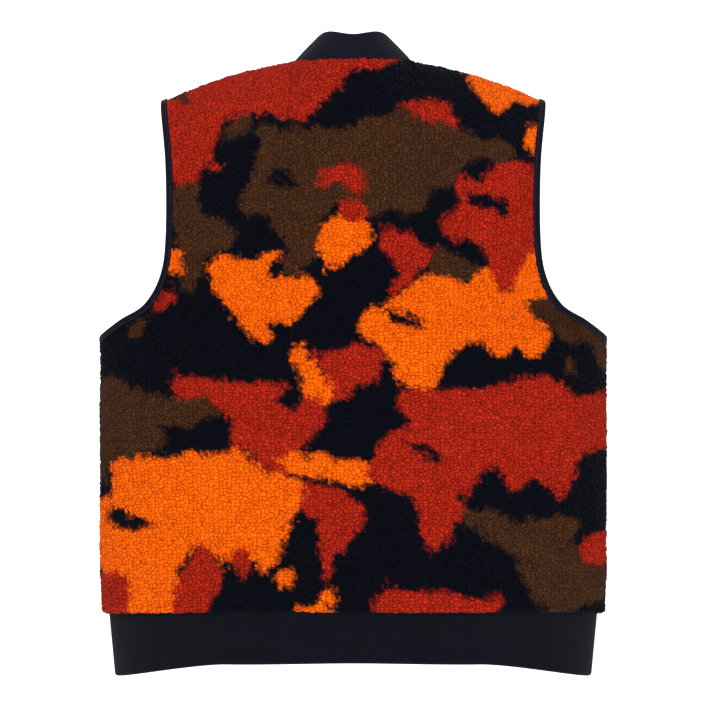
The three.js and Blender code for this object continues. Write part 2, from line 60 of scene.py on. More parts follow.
NECK_HALF, NECK_RISE, SHOULDER_SLOPE, SHOULDER_ROUND, SHOULDER_CROWN = 0.068, 0.060, 0.311, 0.140, 0.006
SHOULDER_HALF, FLEECE_THICK = 0.214, 0.007
HEM_SEAM, TAPER_START, UNDERARM = -0.603, -0.532, -0.304
SEAM_GAP = -0.0004  # the panels bite into each other at a seam
TIP = (SHOULDER_HALF, -SHOULDER_SLOPE * (SHOULDER_HALF - NECK_HALF))
BINDING_WIDTH = 0.009
PANEL_LAP = BINDING_WIDTH - 0.002  # how far the panel's edge lies inside the binding
SIDE_SHARE = 0.4  # the share of a panel's height that is side seam, with the armhole above it
ZIP_EDGE = 0.009  # from the middle to the edge of each front
PILE_HEIGHT, PILE_FOOT = 0.0030, 0.0019
HEM_TURN, ZIP_TURN, SEAM_TURN = 0.0050, 0.0040, 0.0030  # how wide the pile rolls down at each edge
BACKING_STEP = 4  # the smooth backing has one row and column for this many of the pile's


def smooth(t):
    t = np.clip(t, 0, 1)
    return t * t * (3 - 2 * t)


def ridge_height(x):
    """Height of the shoulder line, and of the form's top between the shoulders."""
    ax = np.abs(x)
    inside = NECK_RISE * np.clip(1 - (ax / NECK_HALF) ** 2, 0, 1) ** 1.3
    crown = SHOULDER_CROWN * np.sin(math.pi * np.clip((ax - NECK_HALF) / (TIP[0] - NECK_HALF), 0, 1))
    return np.where(ax < NECK_HALF, inside, crown - SHOULDER_SLOPE * (ax - NECK_HALF))


def half_width(z):
    t = np.clip((TAPER_START - z) / (TAPER_START - HEM_SEAM), 0, 1)
    return CHEST_HALF - 0.002 * t * t


def cross_section(share):
    """How deep the body is at a share of its half width, as a share of its full depth."""
    return np.sqrt(np.clip(1 - np.abs(share) ** ROUNDNESS, 0, 1))


def ease(x, z):
    """How far the cloth stands off its plain form: a slight blouse over the rib and a few soft folds."""
    blouse = 0.0035 * np.exp(-(((z + 0.567) / 0.040) ** 2))
    folds = 0.0022 * np.sin(21 * x + 6 * z + 0.6) * np.sin(9 * z + 1.3) * smooth((-0.12 - z) / 0.2)
    pull = -0.0015 * np.exp(-(((np.abs(x) - 0.225) / 0.03) ** 2)) * np.exp(-(((z + 0.30) / 0.05) ** 2))
    return blouse + folds + pull


def on_form(side, x, z, inset):
    """Points of the vest's form, inset below its skin. side is 1 on the back and -1 on the front."""
    share = np.clip(x / half_width(z), -1, 1)
    ridge = ridge_height(x)
    drop = np.clip((ridge - z) / SHOULDER_ROUND, 0, None)
    over = np.where(drop < 1, np.sqrt(np.clip(1 - (1 - np.minimum(drop, 1)) ** 2, 0, 1)), 1)
    height = np.where(drop < 1, ridge - inset - drop * (SHOULDER_ROUND - inset), z)
    y = SEAM_GAP + (CHEST_DEPTH + ease(x, z) - inset - SEAM_GAP) * cross_section(share) * over
    return np.stack([share * (half_width(z) - inset), side * y, height], -1)


def through(points, t):
    """Points at shares t of the length of a smooth curve through a few points."""
    p = np.array(points, float)
    p = np.vstack([2 * p[0] - p[1], p, 2 * p[-1] - p[-2]])
    fine = []
    for k in range(1, len(p) - 2):
        s = np.linspace(0, 1, 40, endpoint=k == len(p) - 3)[:, None]
        a, b, c, d = p[k - 1], p[k], p[k + 1], p[k + 2]
        bend, twist = 2 * a - 5 * b + 4 * c - d, 3 * b - a - 3 * c + d
        fine.append(0.5 * (2 * b + (c - a) * s + bend * s**2 + twist * s**3))
    fine = np.vstack(fine)
    along = np.concatenate([[0], np.cumsum(np.linalg.norm(np.diff(fine, axis=0), axis=1))])
    t = np.asarray(t) * along[-1]
    return np.stack([np.interp(t, along, fine[:, k]) for k in range(fine.shape[1])], -1)


ARMHOLE_DROP = TIP[1] - UNDERARM
ARMHOLE_COURSE = ((0.025, 0.935), (0.053, 0.87), (0.071, 0.75), (0.077, 0.58), (0.076, 0.28))
ARMHOLE = [
    (CHEST_HALF, UNDERARM),
    *((CHEST_HALF - inward, TIP[1] - share * ARMHOLE_DROP) for inward, share in ARMHOLE_COURSE),
    TIP,
]


def armhole_edge(t, inward):
    """Width and height of the armhole's edge from the underarm to the shoulder tip, moved into the panel."""
    t = np.asarray(t, float)
    here = through(ARMHOLE, t)
    step = through(ARMHOLE, np.clip(t + 0.01, 0, 1)) - through(ARMHOLE, np.clip(t - 0.01, 0, 1))
    step /= np.linalg.norm(step, axis=-1, keepdims=True)
    inward = np.broadcast_to(inward, t.shape)
    x = np.minimum(here[..., 0] - step[..., 1] * inward, CHEST_HALF)
    z = here[..., 1] + step[..., 0] * inward
    x = np.where(t <= 0, CHEST_HALF, x)
    z = np.where(t <= 0, UNDERARM - inward, z)
    z = np.where(t >= 1, ridge_height(x), z)
    return x, z


def hem_seam(x):
    """Height of the seam between fleece and hem rib, which dips a little towards the sides."""
    return HEM_SEAM - 0.008 * np.abs(x / CHEST_HALF) ** 4


def neck_seam(side, x):
    """Height of the neck seam: nearly straight behind, and scooped in front."""
    share = np.clip(np.abs(x) / NECK_HALF, 0, 1)
    return -0.004 * (1 - share**4) if side > 0 else -0.085 * np.sqrt(1 - share**2)


def panel_grid(side, u, v, inner):
    """Width and height of a panel's points: v runs from the hem to the shoulder, u from inner to the side."""
    t = (v - SIDE_SHARE) / (1 - SIDE_SHARE)
    ax, az = armhole_edge(np.clip(t, 0, 1), PANEL_LAP)
    low, high = hem_seam(CHEST_HALF), UNDERARM - PANEL_LAP
    up_side = np.clip(v / SIDE_SHARE, 0, 1)
    sz = low + (high - low) * up_side
    ex, ez = np.where(t <= 0, half_width(sz), ax), np.where(t <= 0, sz, az)
    tip_x, tip_z = armhole_edge(np.array(1.0), PANEL_LAP)
    up, down = smooth(t), 1 - up_side
    fan = inner + (NECK_HALF - inner) * np.sin(np.clip(u / 0.5, 0, 1) * math.pi / 2)
    top_x = np.where(u < 0.5, fan, NECK_HALF + (tip_x - NECK_HALF) * (u - 0.5) / 0.5)
    top_share = (top_x - inner) / (tip_x - inner)
    crowd = 1.15  # draws the columns together towards the side
    x = inner + (ex - inner) * (np.sin(u * crowd) / math.sin(crowd) * (1 - up) + top_share * up)
    top_z = np.where(top_x < NECK_HALF, neck_seam(side, top_x), ridge_height(top_x))
    return x, ez + up * (top_z - tip_z) + down * (hem_seam(x) - hem_seam(ex))


def lattice(a, b, salt):
    """Repeatable random numbers from 0 to 1 for whole-number cells."""
    n = a.astype(np.int64) * 374761393 + b.astype(np.int64) * 668265263
    n = (n + (salt * 40503 & 0xFFFFFF)) & 0x7FFFFFFF
    n = ((n ^ (n >> 13)) * 1274126177) & 0x7FFFFFFF
    return ((n ^ (n >> 16)) & 0xFFFFFF) / float(0x1000000)


def mottle(x, y, size, salt):
    """Smooth noise from -1 to 1 with features of the given size."""
    x, y = x / size, y / size
    ix, iy = np.floor(x), np.floor(y)
    fx, fy = smooth(x - ix), smooth(y - iy)
    low = lattice(ix, iy, salt) * (1 - fx) + lattice(ix + 1, iy, salt) * fx
    high = lattice(ix, iy + 1, salt) * (1 - fx) + lattice(ix + 1, iy + 1, salt) * fx
    return 2 * (low * (1 - fy) + high * fy) - 1


def curls(s, t, salt):
    """Height of the pile's clumps, from 0 to 1."""
    size = 0.0058
    ws = s + 0.0016 * mottle(s, t, 0.0065, salt + 1) + 0.0007 * mottle(s, t, 0.0026, salt + 2)
    wt = t + 0.0016 * mottle(s, t, 0.0065, salt + 3) + 0.0007 * mottle(s, t, 0.0026, salt + 4)
    a, b = ws / size, wt / size
    ia, ib = np.floor(a), np.floor(b)
    first, second = np.full(a.shape, 9.0), np.full(a.shape, 9.0)
    name, other = np.zeros(a.shape), np.zeros(a.shape)
    for da in (-1, 0, 1):
        for db in (-1, 0, 1):
            ca, cb = ia + da, ib + db
            pa = ca + 0.5 + 0.82 * (lattice(ca, cb, salt + 5) - 0.5)
            pb = cb + 0.5 + 0.82 * (lattice(ca, cb, salt + 6) - 0.5)
            far = np.hypot(pa - a, pb - b)
            tint = lattice(ca, cb, salt + 7)
            nearer = far < first
            second = np.where(nearer, first, np.minimum(second, far))
            other = np.where(nearer, name, np.where(far <= second, tint, other))
            first = np.where(nearer, far, first)
            name = np.where(nearer, tint, name)
    joined = np.abs(name - other) < 0.16
    gap = np.clip((second - first) / 0.34, 0, 1)
    gap = np.where(joined, np.maximum(gap, 0.62 + 0.38 * gap), gap)
    dome = np.sqrt(np.clip(gap * (2 - gap), 0, 1)) * (0.80 + 0.20 * np.clip(1 - first, 0, 1))
    height = dome * (0.84 + 0.32 * (name - 0.5)) + 0.06 * mottle(s, t, 0.0014, salt + 8)
    return np.clip(height, 0, 1)


# The print: soft-edged blotches of orange, rust and brown over navy. Each outline is in centimetres,
# across to the wearer's right from the centre back, and down from the neck point.
def linear(r, g, b):
    """A colour given in screen values, from 0 to 255, as the linear values that materials take."""
    return tuple(c / 12.92 / 255 if c <= 10 else ((c / 255 + 0.055) / 1.055) ** 2.4 for c in (r, g, b))


NAVY, BROWN, RUST, ORANGE = linear(3, 5, 16), linear(66, 38, 20), linear(166, 32, 13), linear(255, 98, 0)
PRINT = [
    (RUST, [(-22, 2), (-15, -1), (-9, -3), (-2, -2), (5, -1), (5.2, 0.9), (2.6, 1.5), (-0.6, 1.9),
            (-0.9, 3.5), (-2.8, 4.8), (-3.9, 6.3), (-5.7, 7.6), (-8, 6.6), (-10, 7), (-12.7, 6.8),
            (-14.6, 7.6), (-14.6, 9.5), (-15.4, 12), (-17.4, 14.4), (-19.6, 13.9), (-21, 8)]),
    (BROWN, [(-20.6, 3.6), (-19, 3.6), (-17.4, 4.8), (-18.4, 5.4), (-20.2, 4.8)]),
    (BROWN, [(-10.9, 8.2), (-9.4, 7.6), (-7.2, 8.3), (-4.2, 8), (0.2, 8), (1.3, 7.2), (5, 6.5), (8, 6.8),
             (10.9, 8), (13.9, 9.1), (17.6, 10.2), (16.9, 11.7), (13.9, 11.3), (12, 12.4), (11.3, 14.2),
             (8.7, 15), (8, 16.5), (5.7, 18), (3.9, 16.8), (2, 18), (-0.5, 16.3), (-2, 16.8),
             (-3.5, 18.3), (-3.8, 21.3), (-5.7, 23.5), (-7.2, 23.1), (-7.5, 20.2), (-9.4, 18.3),
             (-11.6, 17.6), (-12.4, 16.1), (-11.6, 13.9), (-10.9, 12), (-10.1, 10.2)]),
    (NAVY, [(-9.5, 12.8), (-8, 13.1), (-5.4, 14.1), (-5.8, 14.6), (-8, 14.1), (-9.2, 13.6)]),
    (BROWN, [(-14.2, 8), (-12, 6.8), (-11.2, 7.8), (-13.4, 9.6)]),
    (BROWN, [(-19.8, 15), (-17.2, 14.4), (-16.4, 16.8), (-14.6, 18), (-12.7, 19.4), (-13.5, 21.3),
             (-15.7, 22), (-16.4, 23.9), (-17.9, 25.7), (-18.7, 24.2), (-17.9, 22), (-19.4, 19.8),
             (-20.4, 18.3)]),
    (RUST, [(-15.3, 11.8), (-14.2, 12), (-14.4, 13), (-15.2, 12.8)]),
    (RUST, [(-3.8, 12.8), (-1.2, 12), (0.6, 12.8), (1.3, 14.2), (0.2, 15.4), (-0.9, 14.6), (-3.5, 14.3)]),
    (RUST, [(-1.8, 16.3), (0.2, 16), (1, 16.8), (1.8, 18), (0.2, 18.4), (-1.2, 17.8)]),
    (ORANGE, [(-3.5, 19), (-2, 18), (0.2, 18.3), (1, 17.9), (1.9, 19.8), (0.9, 21.7), (0.1, 21.7),
              (-2, 23.5), (-3.1, 22.4), (-3.9, 20.5)]),
    (RUST, [(2.6, 18.9), (4.3, 18.7), (6.5, 20.2), (9.1, 21.3), (7.6, 22.4), (6.9, 24.2), (5, 25.7),
            (4.5, 27.6), (4, 25.4), (4.6, 23.1), (3.2, 21.3)]),
    (RUST, [(4.3, 6.1), (6.5, 5.3), (9.5, 5.4), (11.4, 6.8), (10.9, 8), (8.7, 7.7), (6.5, 6.9)]),
    (ORANGE, [(12.2, 1.2), (15.7, 1.6), (20.4, 3), (20.6, 4.8), (18, 5), (17, 5.7), (16.1, 6.3),
              (15, 5.7), (13.7, 3.9)]),
    (ORANGE, [(19.5, 7.2), (21, 8), (21, 10.2), (19.5, 10.6), (18.9, 8.7)]),
    (RUST, [(12, 13.5), (13.9, 13.9), (15.4, 12), (19.1, 11.5), (20.4, 13.5), (20.6, 18.3), (20.4, 21.3),
            (18.7, 22), (18, 24.6), (16.5, 25.7), (15, 24.6), (14.3, 22), (12, 20.2), (9.8, 19.8),
            (9.6, 18), (11.3, 16.5), (10.9, 15)]),
    (NAVY, [(12.2, 15), (14, 15.4), (16.9, 16.6), (16.4, 17.2), (14, 16.7), (12.4, 15.9)]),
    (ORANGE, [(0.3, 30.6), (0.9, 29.4), (2.4, 27.6), (3.9, 26.5), (5.7, 25.7), (8, 24), (10.2, 23.8),
              (12.4, 25), (14.3, 23.1), (15.4, 25), (17.2, 25.7), (18.7, 22.4), (20, 21.5), (21.4, 25.7),
              (20.2, 26.5), (18.7, 27.6), (19.5, 29), (21.3, 29.4), (21.5, 31), (20.2, 32.8),
              (18.7, 32.5), (17.2, 31.9), (15.7, 33), (14.6, 31.7), (13.2, 30.8), (11.3, 31.7), (9.5, 34),
              (9.1, 35.8), (6.5, 36.2), (5, 35.4), (4.3, 33.2), (2.8, 31.7)]),
    (NAVY, [(3.2, 27.6), (5, 28), (7.7, 29.2), (7, 29.9), (5, 29.1), (3.5, 28.4)]),
    (BROWN, [(7.4, 22.8), (9.5, 21.5), (11.3, 22), (13.5, 23.1), (12.8, 24.7), (11.3, 24.2), (9.5, 23.7),
             (8, 23.9)]),
    (BROWN, [(18.5, 27.2), (20.6, 26.3), (22, 26.9), (24.2, 28.4), (28.6, 29.6), (28.6, 34), (27.6, 34.3),
             (26.5, 32.8), (25, 31.3), (23.2, 30.9), (21.3, 29), (19.1, 28.7)]),
    (ORANGE, [(-16, 23.5), (-14.6, 22.2), (-12.7, 21.8), (-10.1, 22), (-7.5, 21.8), (-8.7, 23.5),
              (-8.3, 24.6), (-6, 23.7), (-3.5, 25.2), (-5.3, 27.6), (-7.2, 29), (-9.4, 29.4),
              (-8.6, 31.2), (-10.5, 30.9), (-12.4, 28.7), (-14.2, 26.8), (-15, 25)]),
    (ORANGE, [(-20.4, 21.3), (-18.3, 21.3), (-18.5, 23.5), (-20.4, 23.9)]),
    (RUST, [(-22, 26.6), (-20.6, 25.2), (-19, 25.7), (-20.1, 26.9), (-21.4, 27.8)]),
    (BROWN, [(-24.6, 29), (-22.4, 28.1), (-21.8, 29), (-22.7, 30.5), (-24.2, 30.4)]),
    (RUST, [(-4.6, 32.5), (-1.3, 31.9), (0.9, 31.7), (3.5, 32.5), (2.8, 34.7), (0.6, 36.2), (-0.5, 37.3),
            (-2, 36.9), (-2.4, 35.4), (-3.8, 33.6)]),
    (ORANGE, [(-7, 32.8), (-6.4, 31.6), (-5.3, 31.6), (-4.2, 33.6), (-2.4, 35.4), (-2.1, 37.6),
              (-3.5, 38.2), (-5.3, 37.3), (-5.8, 35)]),
    (RUST, [(-20.2, 35.4), (-19, 34.6), (-14.6, 35.2), (-7.2, 35.6), (-8.3, 37.3), (-6.4, 38.7),
            (-5.3, 37.5), (-2.7, 38.4), (-3.5, 40.2), (-5.3, 42.5), (-6.4, 43.4), (-8.8, 43.6),
            (-7, 45.4), (-9.8, 44.7), (-11.6, 42.8), (-13.5, 42.1), (-13.1, 39.9), (-14.6, 38.4),
            (-17.2, 37.3), (-19.4, 37.3)]),
    (BROWN, [(-29, 35.8), (-25.7, 35.2), (-22, 36.7), (-19, 37.3), (-16.8, 37.3), (-14.6, 38.6),
             (-14.6, 39.6), (-17.2, 40.2), (-20.5, 40.2), (-20.1, 42.1), (-22, 42.8), (-24.6, 43.6),
             (-26.4, 45), (-27.9, 47), (-29, 43.6)]),
    (ORANGE, [(-26.4, 45.4), (-24.6, 43.6), (-22, 43.6), (-18.3, 43.4), (-15.3, 43.4), (-12.7, 42.5),
              (-11.3, 43.6), (-9.8, 44.9), (-7.2, 45.6), (-5.3, 46.5), (-5.7, 49.1), (-7.2, 50.6),
              (-7.5, 53.2), (-9, 55.4), (-10.9, 55), (-12.4, 53.6), (-13.5, 55.2), (-15, 54.3),
              (-16.8, 53.2), (-18.3, 54.3), (-18.7, 56.5), (-17.5, 59.5), (-18.7, 63), (-24, 63),
              (-24.6, 59.1), (-25, 56.9), (-27.2, 56.5), (-29, 54.3), (-29, 49.1), (-26.8, 48)]),
    (NAVY, [(-27.6, 50.6), (-25.7, 49.6), (-23.9, 49.9), (-21.8, 51), (-23.5, 51.6), (-25.7, 51.1)]),
    (RUST, [(-29, 56.9), (-25.3, 56.5), (-24.4, 59.1), (-24.6, 63), (-29, 63)]),
    (RUST, [(-17.9, 54.7), (-16.8, 52.8), (-15, 54.3), (-14.2, 56.5), (-15.7, 60.2), (-18.3, 61.2),
            (-19.2, 58.8), (-18.3, 56.5)]),
    (RUST, [(-13.1, 54.3), (-12, 53.4), (-10.7, 55), (-12, 56.4)]),
    (ORANGE, [(-8.7, 43.6), (-5.7, 43.3), (-2.7, 43.6), (1.8, 44.1), (1.8, 46.2), (-0.5, 46.4),
              (-5.7, 45.4), (-8.3, 44.6)]),
    (RUST, [(-5.3, 46.9), (-4.2, 46.4), (-0.5, 47.6), (1.4, 49.1), (0.9, 51), (-0.5, 52.5), (-1.6, 54.3),
            (-3.1, 57), (-3.5, 54.3), (-3.8, 50.6), (-5.7, 48.4)]),
    (ORANGE, [(-6.6, 63), (-6.4, 60.1), (-5, 59.2), (-2, 60.2), (-1.8, 63)]),
    (ORANGE, [(-3.6, 57.3), (-2, 57.9), (-1.9, 59.5), (-3.5, 59)]),
    (ORANGE, [(-8.4, 56.4), (-7, 55.6), (-6.3, 57), (-7.6, 57.6)]),
    (RUST, [(5, 37.3), (5.7, 36.5), (9.1, 36.2), (13.9, 36.5), (18.3, 35), (21.3, 35.3), (24.3, 36.7),
            (29, 37.2), (29, 42.1), (25, 43.6), (24.3, 45.4), (22.4, 48), (20.6, 46.9), (19.1, 46.2),
            (17.6, 47.3), (16.5, 46.2), (15.4, 45.2), (13.9, 45.4), (12, 47.3), (11.7, 49.5),
            (10.9, 51.7), (9.1, 53.9), (8, 52.8), (6.9, 49.5), (5.4, 47.3), (2, 46.5), (2, 43.6),
            (3.4, 41.4), (5.7, 39.9)]),
    (NAVY, [(5.6, 42), (7, 42.2), (9.6, 43.1), (8.6, 43.7), (6.5, 43.1)]),
    (BROWN, [(11.6, 49.3), (15.7, 49.9), (18.7, 50.4), (22.8, 50.2), (25, 50.6), (23.4, 52.8),
             (24.6, 53.9), (25.4, 55.4), (29, 56.2), (29, 58.8), (24.3, 60.2), (22.8, 61.2), (20.9, 60.2),
             (18.7, 57.6), (17.6, 54.7), (15, 52.5), (12, 51)]),
    (RUST, [(24.6, 53.9), (26.1, 52.5), (29, 52.3), (29, 55.4), (25.7, 55.4)]),
    (RUST, [(2.4, 58.8), (3.9, 57.3), (8, 58), (12, 58.8), (15.9, 58.9), (14.6, 61.3), (10.2, 60.9),
            (2.8, 60.9)]),
    (BROWN, [(22.8, 33.6), (24, 32.6), (24.6, 34), (23.4, 35)]),
]


def inside_ring(px, py, ring):
    """Which points lie inside a closed outline."""
    inside = np.zeros(len(px), bool)
    for (x0, y0), (x1, y1) in zip(ring[:-1], ring[1:]):
        if y0 == y1:
            continue
        crosses = (y0 > py) != (y1 > py)
        inside ^= crosses & (px < (x1 - x0) * (py - y0) / (y1 - y0) + x0)
    return inside


def print_colour(across, down, salt):
    """The print's colour at points given in metres. The dye spreads from tuft to tuft along every edge."""
    fray = 0.0050 * mottle(across, down, 0.016, salt) + 0.0030 * mottle(across, down, 0.0060, salt + 1)
    lift = 0.0050 * mottle(across, down, 0.016, salt + 2) + 0.0030 * mottle(across, down, 0.0060, salt + 3)
    mixed = np.zeros((len(across), 3))
    cell_x, cell_y = np.floor(across / 0.0030), np.floor(down / 0.0034)
    dips, spread, softness = 4, 0.0085, 0.6
    for k in range(dips):
        px = 100 * (across + fray + spread * (lattice(cell_x, cell_y, salt + 4 + k) - 0.5))
        py = 100 * (down + lift + spread * (lattice(cell_x, cell_y, salt + 9 + k) - 0.5))
        colour = np.tile(np.array(NAVY), (len(px), 1))
        for tone, outline in PRINT:
            p = np.array(outline)
            ring = through(np.vstack([p, p[:1]]), np.linspace(0, 1, 4 * len(p) + 1))
            low, high = ring.min(0), ring.max(0)
            near = np.flatnonzero((px > low[0]) & (px < high[0]) & (py > low[1]) & (py < high[1]))
            colour[near[inside_ring(px[near], py[near], ring)]] = tone
        mixed += colour ** softness / dips
    return mixed ** (1 / softness)


def running_length(points, axis):
    """How far along its row or column each point of a grid lies."""
    step = np.linalg.norm(np.diff(points, axis=axis), axis=-1)
    return np.concatenate([np.zeros_like(np.take(step, [0], axis)), np.cumsum(step, axis)], axis)


def put_in_scene(name, data):
    """A new object for a mesh, a lamp or a camera."""
    obj = bpy.data.objects.new(name, data)
    bpy.context.scene.collection.objects.link(obj)
    return obj


def cloth_mesh(name, points, faces, lay, material):
    """A closed piece of cloth, turned the right way out. lay is each point's place along the flat cloth."""
    mesh = bpy.data.meshes.new(name)
    mesh.from_pydata(np.asarray(points).tolist(), [], faces)
    mesh.validate()
    flat = np.zeros((len(points), 3), np.float32)
    flat[:, :2] = lay
    mesh.attributes.new("lay", "FLOAT_VECTOR", "POINT").data.foreach_set("vector", flat.ravel())
    mesh.shade_smooth()
    mesh.calc_loop_triangles()
    corner = np.zeros(3 * len(mesh.loop_triangles), np.int32)
    mesh.loop_triangles.foreach_get("vertices", corner)
    p = np.asarray(points, float)[corner.reshape(-1, 3)]
    if np.einsum("ij,ij->i", p[:, 0], np.cross(p[:, 1], p[:, 2])).sum() < 0:
        mesh.flip_normals()
    mesh.materials.append(material)
    return put_in_scene(name, mesh)


def cut_slit(x, z, slit, keep, outer, inside):
    """Drops the faces of a slit from keep, and gives the rims where the pile meets the backing round it."""
    cx, cz = (x[:-1, :-1] + x[1:, 1:]) / 2, (z[:-1, :-1] + z[1:, 1:]) / 2
    hole = (cx > slit[0][0]) & (cx < slit[1][0]) & (cz > slit[0][1]) & (cz < slit[1][1])
    rr, cc = np.flatnonzero(hole.any(1)), np.flatnonzero(hole.any(0))
    r0, r1, c0, c1 = rr[0], rr[-1] + 1, cc[0], cc[-1] + 1
    keep[r0:r1, c0:c1] = False
    fr0, fr1, fc0, fc1 = (BACKING_STEP * k for k in (r0, r1, c0, c1))
    sides = ((outer[fr0, fc0:fc1 + 1], inside[r0, c0:c1 + 1]),
             (outer[fr0:fr1 + 1, fc0][::-1], inside[r0:r1 + 1, c0][::-1]),
             (outer[fr1, fc0:fc1 + 1][::-1], inside[r1, c0:c1 + 1][::-1]),
             (outer[fr0:fr1 + 1, fc1], inside[r0:r1 + 1, c1]))
    return [(fine[::-1], coarse[::-1]) for fine, coarse in sides]


def panel_faces(keep, rims, outer, inside):
    """The faces of the pile side, of the backing, and of the rims between them."""
    faces = []
    fine_keep = np.kron(keep, np.ones((BACKING_STEP, BACKING_STEP), bool))
    for g, wanted in ((outer, fine_keep), (inside[:, ::-1], keep[:, ::-1])):
        quads = np.stack([g[:-1, :-1], g[:-1, 1:], g[1:, 1:], g[1:, :-1]], -1)
        faces += quads[wanted].tolist()
    for fine, coarse in rims:
        for k in range(len(coarse) - 1):
            a, b = int(coarse[k]), int(coarse[k + 1])
            f = [int(i) for i in fine[BACKING_STEP * k:BACKING_STEP * (k + 1) + 1]]
            faces += [(f[1], f[0], a), (f[2], f[1], a), (f[2], a, b), (f[3], f[2], b), (f[4], f[3], b)]
    return faces


def pile_skin(middle, s, t, from_side, from_zip, salt):
    """The curly face of a panel: clumps of pile that roll down to nothing at each cut edge."""
    height = curls(s, t, salt)
    normal = np.cross(np.gradient(middle, axis=1), np.gradient(middle, axis=0))
    normal /= np.linalg.norm(normal, axis=-1, keepdims=True) + 1e-12
    normal *= np.sign((normal * (middle - [0, 0, -0.3])).sum(-1, keepdims=True))
    from_top = t[-1][None, :] - t
    turns = [t / HEM_TURN, from_side / SEAM_TURN, from_zip / ZIP_TURN, from_top / SEAM_TURN]
    edge = np.clip(np.minimum.reduce(turns), 0, 1)
    deepest = np.where(from_top < 0.004, 0.0022, 0.0045)
    roll = deepest * (1 - np.sqrt(np.clip(1 - (1 - edge) ** 2, 0, 1)))
    swell = 0.0004 * mottle(s, t, 0.030, salt + 20)
    skin = middle + normal * (PILE_HEIGHT * height - PILE_FOOT + swell - roll)[..., None]
    skin[..., 2] -= 0.0022 * (height - 0.45) * np.clip(1 - t / 0.006, 0, 1)
    skin[..., 2] += 0.0018 * (height - 0.45) * np.clip(1 - from_top / 0.006, 0, 1)
    return skin


def fleece_panel(name, side, hand, inner, rows, columns, salt, print_at, slit=None):
    """A panel with a dense curly skin outside and a plain backing inside, closed round its edges.
    hand 0 makes a whole back, mirrored about its middle, and 1 or -1 makes the front on that hand.
    slit gives the low and high corners, across and up, of an opening cut through it."""
    whole = hand == 0
    v = np.linspace(0, 1, rows + 1)[:, None]
    u = np.linspace(-1 if whole else 0, 1, columns + 1)[None, :]
    sign = np.where(u < 0, -1.0, 1.0) if whole else np.full(u.shape, float(hand))
    x, z = panel_grid(side, np.abs(u), v, inner)
    x = x * sign
    middle = on_form(side, x, z, 0.0)
    s, t = running_length(middle, 1), running_length(middle, 0)
    if whole:
        s = s - s[:, columns // 2][:, None]
    from_side = np.abs(s[:, -1])[:, None] - np.abs(s)
    if whole:
        from_side = np.where(s < 0, np.abs(s[:, 0])[:, None] - np.abs(s), from_side)
    from_zip = np.full(s.shape, 1.0) if whole else np.abs(s)
    skin = pile_skin(middle, s, t, from_side, from_zip, salt)
    thin = slice(None, None, BACKING_STEP)
    back = on_form(side, x, z, FLEECE_THICK)[thin, thin]
    nr, nc = rows // BACKING_STEP, columns // BACKING_STEP
    outer = np.arange((rows + 1) * (columns + 1)).reshape(rows + 1, columns + 1)
    inside = (outer.size + np.arange((nr + 1) * (nc + 1))).reshape(nr + 1, nc + 1)
    keep = np.ones((nr, nc), bool)
    rims = [(outer[0], inside[0]), (outer[::-1, 0], inside[::-1, 0]),
            (outer[-1, ::-1], inside[-1, ::-1]), (outer[:, -1], inside[:, -1])]
    if slit:
        rims += cut_slit(np.abs(x[thin, thin]), z[thin, thin], slit, keep, outer, inside)
    faces = panel_faces(keep, rims, outer, inside)
    points = np.vstack([skin.reshape(-1, 3), back.reshape(-1, 3)])
    lay = np.stack([s, t], -1)
    lay = np.vstack([lay.reshape(-1, 2), lay[thin, thin].reshape(-1, 2)])
    used = np.unique(np.concatenate([np.ravel(f) for f in faces]))
    number = np.full(len(points), -1)
    number[used] = np.arange(len(used))
    faces = [[int(number[i]) for i in f] for f in faces]
    obj = cloth_mesh(name, points[used], faces, lay[used], pile_material)
    across, down = print_at(x, z)
    colour = print_colour(across.ravel(), down.ravel(), salt + 30).reshape(*x.shape, 3)
    colour[[0, -1]] = NAVY  # painted shade: the rows at the hem seam and at the shoulder and neck seams are painted navy as a dark seam line
    backing = np.tile(np.array(linear(26, 28, 42)), (inside.size, 1))
    shade = np.vstack([colour.reshape(-1, 3), backing])[used]
    rgba = np.hstack([shade, np.ones((len(shade), 1))]).astype(np.float32)
    obj.data.attributes.new("print", "FLOAT_COLOR", "POINT").data.foreach_set("color", rgba.ravel())
    worn = np.concatenate([np.ones(outer.size), np.zeros(inside.size)])[used].astype(np.float32)
    obj.data.attributes.new("pile", "FLOAT", "POINT").data.foreach_set("value", worn)
    obj["cut_area"] = float(patch_area(back))
    return obj


def patch_area(grid):
    """The area of a sheet of points."""
    a, b, c, d = grid[:-1, :-1], grid[:-1, 1:], grid[1:, 1:], grid[1:, :-1]
    upper = np.linalg.norm(np.cross(c - a, b - a), axis=-1)
    lower = np.linalg.norm(np.cross(c - a, d - a), axis=-1)
    return 0.5 * (upper + lower).sum()


def new_group(name, inputs, outputs):
    """An empty node group with the given sockets, and its input and output nodes."""
    group = bpy.data.node_groups.new(name, "ShaderNodeTree")
    for word, kind, value in inputs:
        socket = group.interface.new_socket(word, in_out="INPUT", socket_type=kind)
        if value is not None:
            socket.default_value = value
    for word, kind in outputs:
        group.interface.new_socket(word, in_out="OUTPUT", socket_type=kind)
    return group, group.nodes.new("NodeGroupInput"), group.nodes.new("NodeGroupOutput")


def node(tree, kind, settings=(), **links):
    """A node with its settings and its inputs, each given as a value or as a socket to link."""
    made = tree.nodes.new(kind)
    for word, value in dict(settings).items():
        setattr(made, word, value)
    for word, value in links.items():
        key = int(word[1:]) if word[0] == "i" and word[1:].isdigit() else word.replace("_", " ")
        if isinstance(value, bpy.types.NodeSocket):
            tree.links.new(value, made.inputs[key])
        else:
            made.inputs[key].default_value = value
    return made


def maths(tree, kind, a, b=0.0):
    """The result of one sum. A sum on one value, such as a sine, leaves b alone."""
    return node(tree, "ShaderNodeMath", {"operation": kind}, i0=a, i1=b).outputs[0]


